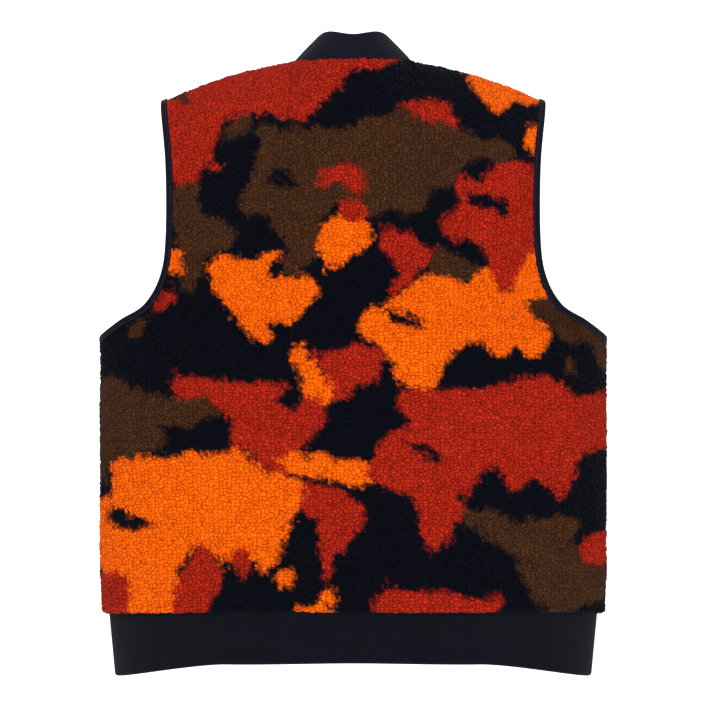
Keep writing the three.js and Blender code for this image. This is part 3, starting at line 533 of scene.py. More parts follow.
def times(tree, first, *others):
    """The product of several values."""
    for value in others:
        first = maths(tree, "MULTIPLY", first, value)
    return first


def vector_maths(tree, kind, a, b):
    return node(tree, "ShaderNodeVectorMath", {"operation": kind}, i0=a, i1=b).outputs[0]


def scaled(tree, vector, share):
    return node(tree, "ShaderNodeVectorMath", {"operation": "SCALE"}, i0=vector, Scale=share).outputs[0]


def remap(tree, value, low, high, to_low, to_high, kind="LINEAR"):
    """A value moved from one range into another and held within it."""
    return node(tree, "ShaderNodeMapRange", {"interpolation_type": kind}, Value=value, From_Min=low,
                From_Max=high, To_Min=to_low, To_Max=to_high).outputs[0]


def between(tree, share, a, b):
    """A colour some share of the way from a to b."""
    return node(tree, "ShaderNodeMix", {"data_type": "RGBA"}, i0=share, i6=a, i7=b).outputs[2]


def attribute(tree, name):
    return node(tree, "ShaderNodeAttribute", {"attribute_name": name})


def cloth_material(name, roughness, sheen=0.0, specular=0.1, metallic=0.0):
    material = bpy.data.materials.new(name)
    material.use_nodes = True
    shader = material.node_tree.nodes["Principled BSDF"]
    for word, value in (("Roughness", roughness), ("Metallic", metallic), ("Sheen Weight", sheen),
                        ("Sheen Roughness", 0.6), ("Specular IOR Level", specular)):
        shader.inputs[word].default_value = value
    return material, material.node_tree, shader


def clothe(tree, shader, colour, height, strength, depth, roughness=None):
    """Join a colour, a relief and perhaps a roughness to a material's surface."""
    relief = node(tree, "ShaderNodeBump", Strength=strength, Distance=depth, Height=height)
    tree.links.new(colour, shader.inputs["Base Color"])
    tree.links.new(relief.outputs["Normal"], shader.inputs["Normal"])
    if roughness:
        tree.links.new(roughness, shader.inputs["Roughness"])


# Tufts of tangled fibre in wandering rows, with a painted highlight on each crest and painted shade in the
# gaps between them.
tufts, given, out = new_group(
    "tufted_pile",
    [("Colour", "NodeSocketColor", (0.5, 0.5, 0.5, 1)), ("Lay", "NodeSocketVector", None),
     ("Tuft Width", "NodeSocketFloat", 0.0040), ("Tuft Height", "NodeSocketFloat", 0.0046),
     ("Gap Depth", "NodeSocketFloat", 0.7), ("Crest Light", "NodeSocketFloat", 0.25)],
    [("Colour", "NodeSocketColor"), ("Height", "NodeSocketFloat")],
)
wander = node(tufts, "ShaderNodeTexNoise", Vector=given.outputs["Lay"], Scale=130.0, Detail=2.0)
shift = scaled(tufts, vector_maths(tufts, "SUBTRACT", wander.outputs["Color"], (0.5, 0.5, 0.5)), 0.0060)
moved = vector_maths(tufts, "ADD", given.outputs["Lay"], shift)
size = node(tufts, "ShaderNodeCombineXYZ", X=given.outputs["Tuft Width"], Y=given.outputs["Tuft Height"],
            Z=1.0)
cells = vector_maths(tufts, "DIVIDE", moved, size.outputs[0])
flat_cells = {"voronoi_dimensions": "2D"}
edges = {"voronoi_dimensions": "2D", "feature": "DISTANCE_TO_EDGE"}
to_edge = node(tufts, "ShaderNodeTexVoronoi", edges, Vector=cells, Scale=1.0, Randomness=0.8)
centre = node(tufts, "ShaderNodeTexVoronoi", flat_cells, Vector=cells, Scale=1.0, Randomness=0.8)
coarse = node(tufts, "ShaderNodeTexVoronoi", edges, Vector=cells, Scale=0.46, Randomness=1.0)
parting = remap(tufts, coarse.outputs["Distance"], 0.0, 0.10, 0.45, 1.0, "SMOOTHSTEP")
narrow = remap(tufts, to_edge.outputs["Distance"], 0.0, 0.20, 0.12, 1.0, "SMOOTHSTEP")
crest = remap(tufts, centre.outputs["Distance"], 0.55, 0.05, 0.0, 1.0, "SMOOTHSTEP")
place = node(tufts, "ShaderNodeTexCoord").outputs["Object"]
strand = node(tufts, "ShaderNodeTexNoise", Vector=place, Scale=1100.0, Detail=2.0, Distortion=1.0)
clump = node(tufts, "ShaderNodeTexNoise", Vector=place, Scale=60.0, Detail=2.0)
each = node(tufts, "ShaderNodeSeparateColor", Color=centre.outputs["Color"])
open_gap = times(tufts, parting, narrow)
own = remap(tufts, each.outputs[0], 0.0, 1.0, 0.80, 1.12)
vary = remap(tufts, strand.outputs["Fac"], 0.3, 0.7, 0.84, 1.14)
broad = remap(tufts, clump.outputs["Fac"], 0.3, 0.7, 0.92, 1.06)
shut = maths(tufts, "SUBTRACT", 1.0, open_gap)
# painted shade: the colour is darkened in the gaps between tufts
shade = maths(tufts, "SUBTRACT", 1.0, times(tufts, shut, given.outputs["Gap Depth"]))
# painted highlight: the colour is lightened on each tuft's crest
light = maths(tufts, "ADD", 1.0, times(tufts, crest, given.outputs["Crest Light"]))
total = times(tufts, times(tufts, own, vary, broad), times(tufts, shade, light))
rise = maths(tufts, "ADD", maths(tufts, "ADD", open_gap, crest), strand.outputs["Fac"])
tufts.links.new(scaled(tufts, given.outputs["Colour"], total), out.inputs["Colour"])
tufts.links.new(rise, out.inputs["Height"])

# Plain knitted cloth: stitches in columns and rows, with painted shade in the grooves between the loops, and
# a slight change from yarn to yarn.
knit, given, out = new_group(
    "knitted_yarn",
    [("Colour", "NodeSocketColor", (0.02, 0.02, 0.03, 1)), ("Lay", "NodeSocketVector", None),
     ("Column", "NodeSocketFloat", 0.0014), ("Row", "NodeSocketFloat", 0.0011),
     ("Groove", "NodeSocketFloat", 0.4)],
    [("Colour", "NodeSocketColor"), ("Height", "NodeSocketFloat")],
)
parts = node(knit, "ShaderNodeSeparateXYZ", Vector=given.outputs["Lay"])
turn = times(knit, maths(knit, "DIVIDE", parts.outputs["X"], given.outputs["Column"]), 2 * math.pi)
column = maths(knit, "COSINE", turn)
slant = times(knit, maths(knit, "ABSOLUTE", column), 1.6)
row_turn = times(knit, maths(knit, "DIVIDE", parts.outputs["Y"], given.outputs["Row"]), 2 * math.pi)
row = maths(knit, "SINE", maths(knit, "ADD", row_turn, slant))
raised = maths(knit, "ADD", times(knit, column, 0.65), times(knit, row, 0.35))
loops = remap(knit, raised, -1.0, 1.0, 0.0, 1.0)
yarn = node(knit, "ShaderNodeTexNoise", Vector=given.outputs["Lay"], Scale=1400.0, Detail=2.0)
wear = node(knit, "ShaderNodeTexNoise", Vector=given.outputs["Lay"], Scale=34.0, Detail=3.0)
fleck = remap(knit, yarn.outputs["Fac"], 0.3, 0.7, 0.86, 1.14)
faded = remap(knit, wear.outputs["Fac"], 0.3, 0.7, 0.93, 1.08)
# painted shade: the colour is darkened in the grooves between the loops
painted_groove_shade = times(knit, maths(knit, "SUBTRACT", 1.0, loops), given.outputs["Groove"])
total = times(knit, fleck, faded, maths(knit, "SUBTRACT", 1.0, painted_groove_shade))
rise = maths(knit, "ADD", loops, times(knit, yarn.outputs["Fac"], 0.3))
knit.links.new(scaled(knit, given.outputs["Colour"], total), out.inputs["Colour"])
knit.links.new(rise, out.inputs["Height"])

pile_material, tree, shader = cloth_material("curly_pile", 0.95, 0.015, 0.04)
printed = attribute(tree, "print").outputs["Color"]
lay = attribute(tree, "lay").outputs["Vector"]
outside = attribute(tree, "pile").outputs["Fac"]
# The tufts get a painted highlight on their crests and painted shade in their gaps.
fuzz = node(tree, "ShaderNodeGroup", {"node_tree": tufts}, Colour=printed, Lay=lay, Tuft_Width=0.0047,
            Tuft_Height=0.0036, Gap_Depth=0.72, Crest_Light=0.20)
plain = node(tree, "ShaderNodeGroup", {"node_tree": knit}, Colour=printed, Lay=lay, Column=0.0016,
             Row=0.0012, Groove=0.45)
rise = node(tree, "ShaderNodeMix", {"data_type": "FLOAT"}, i0=outside, i2=plain.outputs["Height"],
            i3=fuzz.outputs["Height"])
tone = between(tree, outside, plain.outputs["Colour"], fuzz.outputs["Colour"])
clothe(tree, shader, tone, rise.outputs[0], 0.7, 0.0008)

back_fleece = fleece_panel("back_fleece", 1, 0, 0.0, 416, 392, 11, lambda x, z: (-x, -z))
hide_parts("back_panel")
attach(back_fleece, "shell")

# --- Front fleece ---
# Two front panels of the same fleece, cut apart down the zip and seamed to the back at shoulder and side.
# Each is one cloth from the zip round to the side seam, with a slit for its pocket.
MOUTH = ((0.1365, -0.545), (0.1435, -0.395))


for w, hand, salt in (("left", 1, 211), ("right", -1, 307)):
    front = fleece_panel(w + "_front_fleece", -1, hand, ZIP_EDGE, 416, 196, salt,
                         lambda x, z: (0.93 * x + 0.05 * z, 0.605 + 0.93 * z + 0.06 * x), MOUTH)
    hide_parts(w + "_front_panel", w + "_side_panel")
    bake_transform(front)

# --- Armhole binding ---
# A band of fine rib knit round each armhole, folded over the raw edge of the fleece and stitched down.
# It is cut on the straight, so its ribs run across the band.
KNIT_NAVY = linear(8, 9, 26)


def rib_material(name, colour, column, row, groove_shade, roughness=0.88):
    """A knitted or woven cloth of one colour, with its stitches at the given spacing and painted shade in the
    grooves between them.
    """
    material, tree, shader = cloth_material(name, roughness, 0.03, 0.07)
    cloth = node(tree, "ShaderNodeGroup", {"node_tree": knit}, Colour=(*colour, 1),
                 Lay=attribute(tree, "lay").outputs["Vector"], Column=column, Row=row, Groove=groove_shade)
    clothe(tree, shader, cloth.outputs["Colour"], cloth.outputs["Height"], 0.6, 0.0005)
    return material


binding_knit = rib_material("binding_knit", KNIT_NAVY, 0.0022, 0.0012, 0.5)


def loft(name, rings, lay, material, closed=False):
    """A closed skin through rings of points. The row of rings has flat ends, or is closed on itself."""
    n, k = rings.shape[:2]
    index = np.arange(n * k).reshape(n, k)
    rows = np.vstack([index, index[:1]]) if closed else index
    on = np.roll(rows, -1, 1)
    faces = np.stack([rows[:-1], rows[1:], on[1:], on[:-1]], -1).reshape(-1, 4).tolist()
    if not closed:
        half = k // 2
        for ring, flip in ((index[0], 1), (index[-1], -1)):
            for a in range(half - 1 + k % 2):
                b = k - 1 - a
                if b - 1 > a:
                    faces.append([int(i) for i in (ring[a], ring[a + 1], ring[b - 1], ring[b])][::flip])
                    if b - 1 == a + 1:
                        faces[-1] = faces[-1][:3] if flip == 1 else faces[-1][1:]
    return cloth_mesh(name, rings.reshape(-1, 3), faces, lay.reshape(-1, 2), material)


def band_ring(count, end):
    """Shares across and through a band, round its section, with its two edges rounded over."""
    flat = np.linspace(end, 1 - end, count)
    turn = np.linspace(0, math.pi, 7)[1:-1]
    high = (1 - end + end * np.sin(turn), (1 - np.cos(turn)) / 2)
    low = (end - end * np.sin(turn), (1 + np.cos(turn)) / 2)
    v = np.concatenate([flat, high[0], flat[::-1], low[0]])
    d = np.concatenate([0 * flat, high[1], 0 * flat + 1, low[1]])
    return v, d


def knit_band(name, skin, start, stop, columns, ring, thick, pitch, relief, height, material, closed=False):
    """A band of knit over a skin, with real ribs. skin takes shares along and across, and an inset.
    pitch is the spacing of the ribs, relief is how far they stand out, and height is the band's own."""
    v, d = ring
    j = np.linspace(start, stop, columns + 1)[:-1 if closed else None, None]
    half = skin(j, np.full((1, 1), 0.5), np.zeros((1, 1)))[:, 0]
    s = running_length(half, 0)[:, None]
    wave = 0.5 - 0.5 * np.cos(2 * math.pi * s / pitch)
    inset = d[None] * thick + relief * wave * (1 - 2 * d[None])
    points = skin(j, v[None], inset)
    lay = np.stack(np.broadcast_arrays(s, v[None] * height), -1)
    obj = loft(name, points, lay, material, closed)
    obj["cut_area"] = float(patch_area(points[:, :len(v) // 2]))
    return obj


def stitches(name, path, body, colour=(38, 40, 58), pitch=0.0030, length=0.0021, thick=0.00032):
    """A row of machine stitches lying along a path of points."""
    path = np.array(path, float)
    count = max(2, int(np.linalg.norm(np.diff(path, axis=0), axis=1).sum() / pitch))
    middle = through(path, (np.arange(count) + 0.5) / count)
    ahead = np.gradient(middle, axis=0)
    ahead /= np.linalg.norm(ahead, axis=1, keepdims=True)
    up = np.cross(ahead, np.roll(ahead, 1, 1) + [0.3, 0.5, 0.1])
    up /= np.linalg.norm(up, axis=1, keepdims=True)
    out = np.cross(ahead, up)
    points, faces = [], []
    for k, (m, a, u, o) in enumerate(zip(middle, ahead, up, out)):
        for along, wide in ((-0.5, 0.45), (-0.3, 1.0), (0.3, 1.0), (0.5, 0.45)):
            for turn in range(5):
                angle = 2 * math.pi * turn / 5
                spoke = u * math.cos(angle) + o * math.sin(angle)
                points.append(m + a * along * length + wide * thick * spoke)
        for level in range(3):
            for turn in range(5):
                a0, a1 = 20 * k + 5 * level + turn, 20 * k + 5 * level + (turn + 1) % 5
                faces.append((a0, a1, a1 + 5, a0 + 5))
        faces += [tuple(range(20 * k + 4, 20 * k - 1, -1)), tuple(range(20 * k + 15, 20 * k + 20))]
    made = cloth_mesh(name, np.array(points), faces, np.zeros((len(points), 2)), thread(colour))
    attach(made, body)


def thread(colour):
    """Twisted sewing thread with a faint lustre."""
    name = "thread_%d_%d_%d" % colour
    if name in bpy.data.materials:
        return bpy.data.materials[name]
    material, tree, shader = cloth_material(name, 0.55, 0.0, 0.3)
    place = node(tree, "ShaderNodeTexCoord").outputs["Object"]
    twist = node(tree, "ShaderNodeTexWave", Vector=place, Scale=420.0, Distortion=2.0).outputs["Fac"]
    shadow = linear(*(int(0.75 * c) for c in colour))
    clothe(tree, shader, between(tree, twist, (*shadow, 1), (*linear(*colour), 1)), twist, 0.5, 0.0001)
    return material


def armhole_skin(hand):
    """The band's skin: j runs 0 to 1 up the back edge of the armhole and 1 to 2 down its front edge."""
    def skin(j, v, inset):
        t, back = np.where(j <= 1, j, 2 - j), j <= 1
        x, z = armhole_edge(t + 0 * v, BINDING_WIDTH * (1 - v))
        behind, before = (on_form(k, x, z, inset - 0.0008) for k in (1, -1))
        behind[..., 1] = np.maximum(behind[..., 1], 0.0003)
        before[..., 1] = np.minimum(before[..., 1], -0.0003)
        points = np.where(back[..., None], behind, before)
        points[..., 0] *= hand
        return points
    return skin


for w, hand in (("left", 1), ("right", -1)):
    skin = armhole_skin(hand)
    band = knit_band("armhole_binding_" + w, skin, 0, 2, 460, band_ring(9, 0.28), 0.0084, 0.0044,
                     0.00018, 0.009, binding_knit, closed=True)
    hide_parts("armhole_binding_" + w + "_back", "armhole_binding_" + w + "_front")
    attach(band, "shell")
    for word, start, stop in (("back", 0.02, 0.97), ("front", 1.03, 1.98)):
        j = np.linspace(start, stop, 60)[:, None]
        seam = skin(j, np.full((1, 1), 0.22), np.full((1, 1), -0.0001))[:, 0]
        stitches("binding_stitches_" + w + "_" + word, seam, "shell", (34, 35, 52))

# --- Hem rib ---
# A doubled band of heavier rib knit, cut shorter than the fleece and stretched to it at the seam, so it
# draws in below. It is in one run round the back, with a front piece on each side of the zip.
HEM_HEIGHT, HEM_LAP, CORNER_DROP, CORNER_START = 0.057, 0.0045, 0.0205, 0.150
DRAWN_IN_BELOW, DRAWN_IN_ABOVE = 0.017, 0.010
hem_knit = rib_material("hem_knit", linear(5, 6, 17), 0.0013, 0.0011, 0.35)


def hem_bottom(x):
    out = np.clip(np.abs(x) - CORNER_START, 0, None) / (CHEST_HALF - CORNER_START)
    middle_lift = 0.0022 * (1 - smooth(np.abs(x) / 0.16))
    return HEM_SEAM - HEM_HEIGHT - CORNER_DROP * out**1.4 + middle_lift


def hem_skin(side, hand, inner):
    """The hem's skin: hand 0 is the run round the back, and 1 or -1 the front piece on that hand."""
    def skin(j, v, inset):
        if hand:
            x = inner + (CHEST_HALF - inner) * np.sin(np.clip(j, 0, 1) * math.pi / 2)
        else:
            x = np.sign(j) * np.sin(np.abs(j) * math.pi / 2) * CHEST_HALF
        share = x / CHEST_HALF
        wide = CHEST_HALF - (DRAWN_IN_BELOW + (DRAWN_IN_ABOVE - DRAWN_IN_BELOW) * v) - inset
        z = hem_bottom(x) + (hem_seam(x) + HEM_LAP - hem_bottom(x)) * v
        wavy = 0.0012 * np.sin(16 * x + 1.1) * np.sin(math.pi * np.clip(v, 0, 1))
        y = SEAM_GAP + (CHEST_DEPTH - 0.002 + wavy - inset - SEAM_GAP) * cross_section(share)
        return np.stack(np.broadcast_arrays(share * wide * (hand or 1), side * y, z + 0 * y), -1)
    return skin


hem_ring = band_ring(14, 0.04)
hem_back = knit_band("hem_back", hem_skin(1, 0, 0), -1, 1, 1000, hem_ring, 0.0040, 0.0028, 0.00016,
                     0.066, hem_knit)
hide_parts("hem_rib_back")
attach(hem_back, "shell")
for w, hand in (("left", 1), ("right", -1)):
    hem_front = knit_band("hem_front_" + w, hem_skin(-1, hand, ZIP_EDGE), 0, 1, 500, hem_ring, 0.0040,
                          0.0028, 0.00016, 0.066, hem_knit)
    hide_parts("hem_rib_" + w + "_front", "hem_rib_" + w + "_side")
    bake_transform(hem_front)

# --- Collar ---
# A short stand collar of ribbed knit, folded double along its top edge and sewn into the neck seam.
# It leans in towards the neck, and its front ends stop at the zip.
TOP_HALF, TOP_DEPTH, TOP_RISE, FRONT_RISE = 0.038, 0.050, 0.0215, -0.045
collar_knit = rib_material("collar_knit", KNIT_NAVY, 0.0015, 0.0011, 0.4)


def collar_skin(turn, v):
    """A place on the collar: turn runs 0 to 1 from the back of the neck to the front, v from seam to top."""
    angle, back = math.pi * turn, turn <= 0.5
    side = np.where(back, 1.0, -1.0)
    x = NECK_HALF * np.sin(angle)
    behind, before = (on_form(k, x, neck_seam(k, x), 0.0022) for k in (1, -1))
    base = np.where(back[..., None], behind, before) - [0, 0, 0.0040]
    front_y = -(CHEST_DEPTH - 0.0005)
    top_y = (TOP_DEPTH + front_y) / 2 + side * (TOP_DEPTH - front_y) / 2 * cross_section(np.sin(angle))
    top_z = TOP_RISE + (FRONT_RISE - TOP_RISE) * smooth((turn - 0.4) / 0.6)
    top_z = top_z + 0.0045 * np.sin(math.pi * np.clip(turn / 0.5, 0, 1)) ** 2
    top = np.stack(np.broadcast_arrays(TOP_HALF * np.sin(angle), top_y, top_z), -1)
    bulge = (0.002 * np.sin(math.pi * np.clip(v, 0, 1)))[..., None]
    outward = np.stack([np.sin(angle), np.cos(angle), 0 * angle], -1)
    return base + (top - base) * v[..., None] + bulge * outward


def collar_cloth(hand):
    """hand 0 covers the back between the shoulder seams, and 1 or -1 the front on that hand."""
    def skin(j, v, inset):
        j, v, inset = np.broadcast_arrays(j * 1.0, v * 1.0, inset * 1.0)
        last = 1 - np.arcsin(ZIP_EDGE / (NECK_HALF + (TOP_HALF - NECK_HALF) * v)) / math.pi
        turn = np.abs(j) * 0.5 if hand == 0 else 0.5 + (last - 0.5) * j
        around = collar_skin(turn + 0.02, v) - collar_skin(turn - 0.02, v)
        up = collar_skin(turn, v + 0.1) - collar_skin(turn, v - 0.1)
        normal = np.cross(around, up)
        normal /= np.linalg.norm(normal, axis=-1, keepdims=True)
        at = collar_skin(turn, v) - normal * inset[..., None]
        at[..., 2] += inset * normal[..., 2] * (1 - v)
        at[..., 0] *= np.where(j < 0, -1, 1) if hand == 0 else hand
        return at
    return skin


collar_ring = band_ring(12, 0.06)
collar_back = knit_band("collar_ribbed_back", collar_cloth(0), -1, 1, 330, collar_ring, 0.0035, 0.0030,
                        0.00028, 0.036, collar_knit)
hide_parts("collar_back")
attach(collar_back, "shell")
for w, hand in (("left", 1), ("right", -1)):
    collar_front = knit_band("collar_ribbed_" + w, collar_cloth(hand), 0, 1, 230, collar_ring, 0.0035,
                             0.0030, 0.00028, 0.038, collar_knit)
    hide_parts("collar_" + w + "_front", "collar_" + w + "_side")
    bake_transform(collar_front)

# --- Pockets ---
# A slit pocket in each front, edged with a narrow welt of the binding knit sewn round the mouth. Its bag
# is a flat pouch of plain cotton that hangs inside the front and is caught in the hem seam.
WELT_MIDDLE, WELT_CORNER = (0.140, -0.470), 0.0035
BAG_BOTTOM, BAG_HEIGHT, BAG_MIDDLE, BAG_HALF = -0.5875, 0.2070, 0.0965, 0.0530
lining_cloth = rib_material("pocket_lining", linear(30, 32, 46), 0.0007, 0.0007, 0.55)


def tube_about(path, across, through_it, wide, thick, sides=14):
    """Rounded-square sections along a path, given the directions across it and through it."""
    turn = 2 * math.pi * np.arange(sides) / sides
    a = np.sign(np.cos(turn)) * np.abs(np.cos(turn)) ** 0.6 * wide / 2
    b = np.sign(np.sin(turn)) * np.abs(np.sin(turn)) ** 0.6 * thick / 2
    return path[:, None] + across[:, None] * a[None, :, None] + through_it[:, None] * b[None, :, None]


for w, hand in (("left", 1), ("right", -1)):
    ring = [(WELT_MIDDLE[0] + sx * 0.0033 + WELT_CORNER * math.cos(q + a),
             WELT_MIDDLE[1] + sz * 0.075 + WELT_CORNER * math.sin(q + a))
            for q, sx, sz in ((0, 1, 1), (math.pi / 2, -1, 1), (math.pi, -1, -1), (1.5 * math.pi, 1, -1))
            for a in np.linspace(0, math.pi / 2, 7)]
    ring = np.array(ring + ring[:1])
    reach = running_length(ring, 0)
    wx, wz = (np.interp(np.linspace(0, reach[-1], 241)[:-1], reach, ring[:, k]) for k in (0, 1))
    path = on_form(-1, wx, wz, 0.0024)
    ahead = np.roll(path, -1, 0) - np.roll(path, 1, 0)
    ahead /= np.linalg.norm(ahead, axis=1, keepdims=True)
    outward = on_form(-1, wx, wz, 0.0) - on_form(-1, wx, wz, 0.004)
    outward /= np.linalg.norm(outward, axis=1, keepdims=True)
    rings = tube_about(path, np.cross(ahead, outward), outward, 0.0072, 0.0064)
    rings[..., 0] *= hand
    along = running_length(path, 0)
    lay = np.stack(np.broadcast_arrays(along[:, None], 0.001 * np.arange(14)[None, :]), -1)
    welt = loft("pocket_welt_cloth_" + w, rings, lay, binding_knit, closed=True)
    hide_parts("pocket_welt_" + w)
    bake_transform(welt)

    level = np.linspace(0, 1, 60)[:, None]
    share = np.linspace(-1, 1, 41)[None, :]
    bz = BAG_BOTTOM + BAG_HEIGHT * level
    taper = 0.5 * (1 - np.abs(2 * level - 1) ** 9) + 0.5
    bx = BAG_MIDDLE + BAG_HALF * share * taper
    slack = (1 - np.abs(share) ** 2.6) * (1 - np.abs(2 * level - 1) ** 3)
    pucker = 0.0008 * mottle(bx, bz, 0.030, 71)
    shallow = on_form(-1, bx, bz, 0.0084 + 0.0003 * slack)
    deep = on_form(-1, bx, bz, 0.0098 + (0.0062 + pucker) * slack)
    rings = np.concatenate([shallow, deep[:, ::-1]], 1)
    rings[..., 0] *= hand
    lay = np.stack(np.broadcast_arrays(np.concatenate([bx, bx[:, ::-1]], 1), bz + 0 * bx[:, :1]), -1)
    pouch = loft("pocket_pouch_" + w, rings, lay, lining_cloth)
    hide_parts("pocket_bag_" + w)
    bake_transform(pouch)

# --- Zip ---
# An open-ended moulded zip: a woven tape sewn inside each front edge, with a row of plastic teeth along it.
# Its metal box, pin and stops are clamped to the tapes, and the slider with its pull joins the rows.
tape_weave = rib_material("tape_weave", linear(17, 18, 27), 0.0009, 0.0009, 0.5)
teeth_plastic, tree, shader = cloth_material("teeth_plastic", 0.5, 0.0, 0.25)
place = node(tree, "ShaderNodeTexCoord").outputs["Object"]
grain = node(tree, "ShaderNodeTexNoise", Vector=place, Scale=900.0, Detail=3.0).outputs["Fac"]
tone = between(tree, grain, (*linear(16, 17, 22), 1), (*linear(34, 35, 42), 1))
clothe(tree, shader, tone, grain, 0.25, 0.0001, remap(tree, grain, 0.0, 1.0, 0.34, 0.54))

zip_metal, tree, shader = cloth_material("gunmetal", 0.3, 0.0, 0.5, 0.95)
place = node(tree, "ShaderNodeTexCoord").outputs["Object"]
brushed = node(tree, "ShaderNodeMapping", Vector=place, Scale=(900.0, 900.0, 60.0)).outputs[0]
scratch = node(tree, "ShaderNodeTexNoise", Vector=brushed, Scale=1.0, Detail=4.0).outputs["Fac"]
corner = node(tree, "ShaderNodeNewGeometry").outputs["Pointiness"]
rubbed = remap(tree, corner, 0.50, 0.60, 0.0, 1.0, "SMOOTHSTEP")
tone = between(tree, rubbed, (*linear(52, 53, 58), 1), (*linear(128, 128, 132), 1))
clothe(tree, shader, tone, scratch, 0.15, 0.0001, remap(tree, scratch, 0.3, 0.7, 0.24, 0.44))
for name in ("zip_top_stop_left", "zip_top_stop_right", "zip_insertion_pin", "zip_retainer_box", "zip_slider",
             "zip_pull"):
    part = bpy.data.objects[name]
    part.data.materials.clear()
    part.data.materials.append(zip_metal)

TOOTH_PITCH, TOOTH_INSET = 0.0032, 0.002
CHAIN_MIDDLE = 0.0032  # from the zip's middle to the cord that the teeth of one side sit on


def block_corners(low, high, bevel):
    """The corners of a block with its edges cut back."""
    points = []
    for axis in range(3):
        first, second = [k for k in range(3) if k != axis]
        for end in (low, high):
            for a, b in ((0, 0), (1, 0), (1, 1), (0, 1)):
                p = np.zeros(3)
                p[axis] = end[axis]
                p[first] = (low[first] + bevel, high[first] - bevel)[a]
                p[second] = (low[second] + bevel, high[second] - bevel)[b]
                points.append(p)
    return points


def block_mesh(name, blocks, material):
    """One mesh of many small bevelled blocks."""
    shape = bmesh.new()
    for low, high, bevel in blocks:
        made = [shape.verts.new(p) for p in block_corners(low, high, bevel)]
        bmesh.ops.convex_hull(shape, input=made)
    bmesh.ops.recalc_face_normals(shape, faces=shape.faces)
    mesh = bpy.data.meshes.new(name)
    shape.to_mesh(mesh)
    shape.free()
    mesh.materials.append(material)
    return put_in_scene(name, mesh)


for w, hand in (("left", 1), ("right", -1)):
    low, high = (np.array(c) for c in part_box("zip_tape_" + w))
    count = 200
    level = np.linspace(low[2], high[2], count)
    x, y = (low[:2] + high[:2]) / 2
    middle = np.stack([np.full(count, x), np.full(count, y), level], -1)
    one = np.ones((count, 1))
    rings = tube_about(middle, one * [1, 0, 0], one * [0, 1, 0], high[0] - low[0], 0.0009, 24)
    lay = np.stack([rings[..., 0], rings[..., 2]], -1)
    tape = loft("zip_tape_cloth_" + w, rings, lay, tape_weave)
    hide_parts("zip_tape_" + w)
    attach(tape, w + "_front")
    t_low, t_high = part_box("zip_teeth_" + w)
    first = t_low[2] + TOOTH_INSET + (0.0 if hand > 0 else TOOTH_PITCH / 2)
    cord = hand * CHAIN_MIDDLE
    blocks = [((cord - 0.0009, -0.0748, t_low[2]), (cord + 0.0009, -0.0706, t_high[2]), 0.0004)]
    for k in range(int((t_high[2] - TOOTH_INSET - first) / TOOTH_PITCH)):
        z = first + k * TOOTH_PITCH
        # each tooth is a flat root that grips the cord, and a wider head that locks
        for outer, front, back, half, bevel in ((0.0046, -0.0750, -0.0705, 0.00085, 0.00035),
                                                (0.0014, -0.0742, -0.0713, 0.0012, 0.0003)):
            near, far = sorted((hand * 0.0006, hand * outer))
            blocks.append(((near, front, z - half), (far, back, z + half), bevel))
    teeth = block_mesh("zip_teeth_row_" + w, blocks, teeth_plastic)
    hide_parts("zip_teeth_" + w)
    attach(teeth, w + "_front")
    for x in (0.0095, 0.0165):
        y = low[1] + 0.0002 if x < 0.010 else high[1] + 0.0001
        path = [(hand * x, y, z) for z in np.linspace(-0.650, -0.055, 12)]
        stitches("tape_stitches_%s_%d" % (w, 1000 * x), path, w + "_front")

# --- Inside the back neck ---
# A half-moon facing of plain knit backs the upper back, and a twill tape covers the neck seam over it.
# A satin label without print is sewn below the tape, and a loop to hang the vest by stands over both.
facing_knit = rib_material("facing_knit", linear(28, 30, 46), 0.0012, 0.0010, 0.45)
twill = rib_material("neck_tape_twill", linear(24, 26, 40), 0.0010, 0.0022, 0.55)
satin = rib_material("label_satin", linear(58, 60, 72), 0.0004, 0.0004, 0.25, 0.42)


def inner_sheet(name, across, down, depth, thick, material, columns=60, rows=40, sag=None):
    """A thin cloth inside the back. across gives half its width at each share down, from 0 to 1.
    sag gives how far a loop, which stands off the cloth in its middle, hangs down at each share across."""
    level = np.linspace(0, 1, rows)[:, None]
    share = np.linspace(-1, 1, columns)[None, :]
    x = (across(level) + 0 * level) * share
    z = down(level) + (sag(share) if sag else 0) + 0 * x
    stand = 0.0045 * (1 - share**2) if sag else 0
    near, far = (on_form(1, x, z, d + stand) for d in (depth, depth + thick))
    rings = np.concatenate([near, far[:, ::-1]], 1)
    lay = np.stack([x, z], -1)
    lay = np.concatenate([lay, lay[:, ::-1]], 1)
    made = loft(name, rings, lay, material)
    made["cut_area"] = float(patch_area(near))
    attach(made, "shell")
    return made


def half_moon(t):
    """Half the facing's width: straight at the top, and round below."""
    below = np.clip((t * 0.080 - 0.023) / 0.0572, 0, 1)
    return 0.066 * np.sqrt(np.clip(1 - below**2, 0.0006, 1))


facing = inner_sheet("neck_facing", half_moon, lambda t: -0.008 - 0.0798 * t, 0.0074, 0.0007, facing_knit)
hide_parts("back_yoke_facing")
edge = np.linspace(-1, 1, 60)
reach = 0.0635 * np.sin(edge * math.pi / 2)
drop = np.where(np.abs(edge) < 1, 0.0555 * np.cos(edge * math.pi / 2), 0)
SEAM_THREAD = (52, 54, 74)
stitches("facing_stitches", on_form(1, reach, -0.0295 - drop, 0.0081), "shell", SEAM_THREAD)

tape = inner_sheet("neck_seam_tape", lambda t: 0.058, lambda t: -0.0073 - 0.0104 * t, 0.0085, 0.0007,
                   twill, 120, 10)
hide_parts("neck_tape")
reach = np.linspace(-0.056, 0.056, 30)
for word, height in (("upper", -0.0086), ("lower", -0.0166)):
    seam = on_form(1, reach, height, 0.0092)
    stitches("neck_tape_stitches_" + word, seam, "shell", SEAM_THREAD)

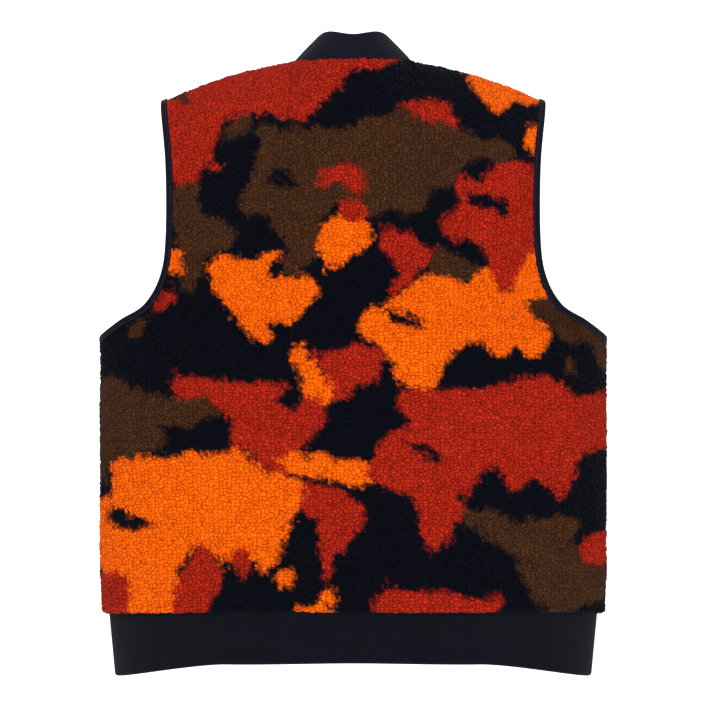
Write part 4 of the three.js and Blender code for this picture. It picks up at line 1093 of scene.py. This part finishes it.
label = inner_sheet("blank_label", lambda t: 0.0228, lambda t: -0.0302 - 0.0236 * t, 0.0085, 0.0004,
                    satin, 40, 20)
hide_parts("neck_label")
ring = [(-0.0215, -0.0312), (0.0215, -0.0312), (0.0215, -0.0528), (-0.0215, -0.0528), (-0.0215, -0.0312)]
for k, (a, b) in enumerate(zip(ring[:-1], ring[1:])):
    run = np.linspace(a, b, 8)
    path = on_form(1, run[:, 0], run[:, 1], 0.0090)
    stitches("label_stitches_%d" % (k + 1), path, "shell", (90, 92, 104), 0.0022, 0.0015, 0.0002)

hanger = inner_sheet("hanger_loop_tape", lambda t: 0.0298, lambda t: -0.0082 - 0.0066 * t, 0.0107, 0.0014,
                     twill, 70, 10, lambda u: -0.013 * (1 - u**2))
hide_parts("hanger_loop")

# --- Stage, lights and camera ---
# A plain white sweep behind and under the vest, broad soft light from the front, and a long lens.
PAPER_HALF, FLOOR, BEND = 6.0, -1.05, 0.9
turn = np.linspace(0, math.pi / 2, 14)
rise = [(-5.0 - BEND * math.sin(a), FLOOR + BEND * (1 - math.cos(a))) for a in turn]
rows = [(5.0, FLOOR), (0.0, FLOOR), *rise, (-5.9, 4.0)]
points = [(x, y, z) for y, z in rows for x in (-PAPER_HALF, PAPER_HALF)]
mesh = bpy.data.meshes.new("sweep")
mesh.from_pydata(points, [], [(2 * k, 2 * k + 1, 2 * k + 3, 2 * k + 2) for k in range(len(rows) - 1)])
mesh.shade_smooth()
sweep = put_in_scene("sweep", mesh)
sweep_material = bpy.data.materials.new("sweep_paper")
sweep_material.use_nodes = True
paper = sweep_material.node_tree.nodes["Principled BSDF"]
paper.inputs["Base Color"].default_value = (0.93, 0.93, 0.93, 1)
paper.inputs["Roughness"].default_value = 0.9
paper.inputs["Emission Color"].default_value = (1, 1, 1, 1)
paper.inputs["Emission Strength"].default_value = 0.62
sweep.data.materials.append(sweep_material)

for name, place, target, size, power in (
    ("key", (0.9, 2.3, 1.3), (0, 0, -0.3), 1.6, 40),
    ("fill", (-1.3, 2.2, 0.2), (0, 0, -0.35), 1.8, 23),
    ("top", (0.0, 0.4, 1.9), (0, 0, -0.2), 1.2, 13),
    ("rear", (0.3, -2.0, 1.1), (0, 0, -0.35), 1.6, 30),
):
    lamp = bpy.data.lights.new(name, "AREA")
    lamp.shape, lamp.size, lamp.energy = "SQUARE", size, power
    holder = put_in_scene(name, lamp)
    holder.location = place
    aim = np.array(target) - np.array(place)
    holder.rotation_euler = mathutils.Vector(aim).to_track_quat("-Z", "Y").to_euler()

world = bpy.data.worlds.new("studio")
bpy.context.scene.world = world
world.use_nodes = True
sky = world.node_tree.nodes["Background"]
sky.inputs["Color"].default_value = (1, 1, 1, 1)
seen = node(world.node_tree, "ShaderNodeLightPath").outputs["Is Camera Ray"]
strength = remap(world.node_tree, seen, 0.0, 1.0, 0.5, 1.0)
world.node_tree.links.new(strength, sky.inputs["Strength"])
bpy.context.scene.view_settings.view_transform = "Standard"

camera_data = bpy.data.cameras.new("camera")
camera_data.lens, camera_data.sensor_width, camera_data.clip_end = 110, 36, 30
camera = put_in_scene("camera", camera_data)
camera.location = (-0.0075, 2.44, -0.3315)
camera.rotation_euler = (math.pi / 2, 0, math.pi)
bpy.context.scene.camera = camera
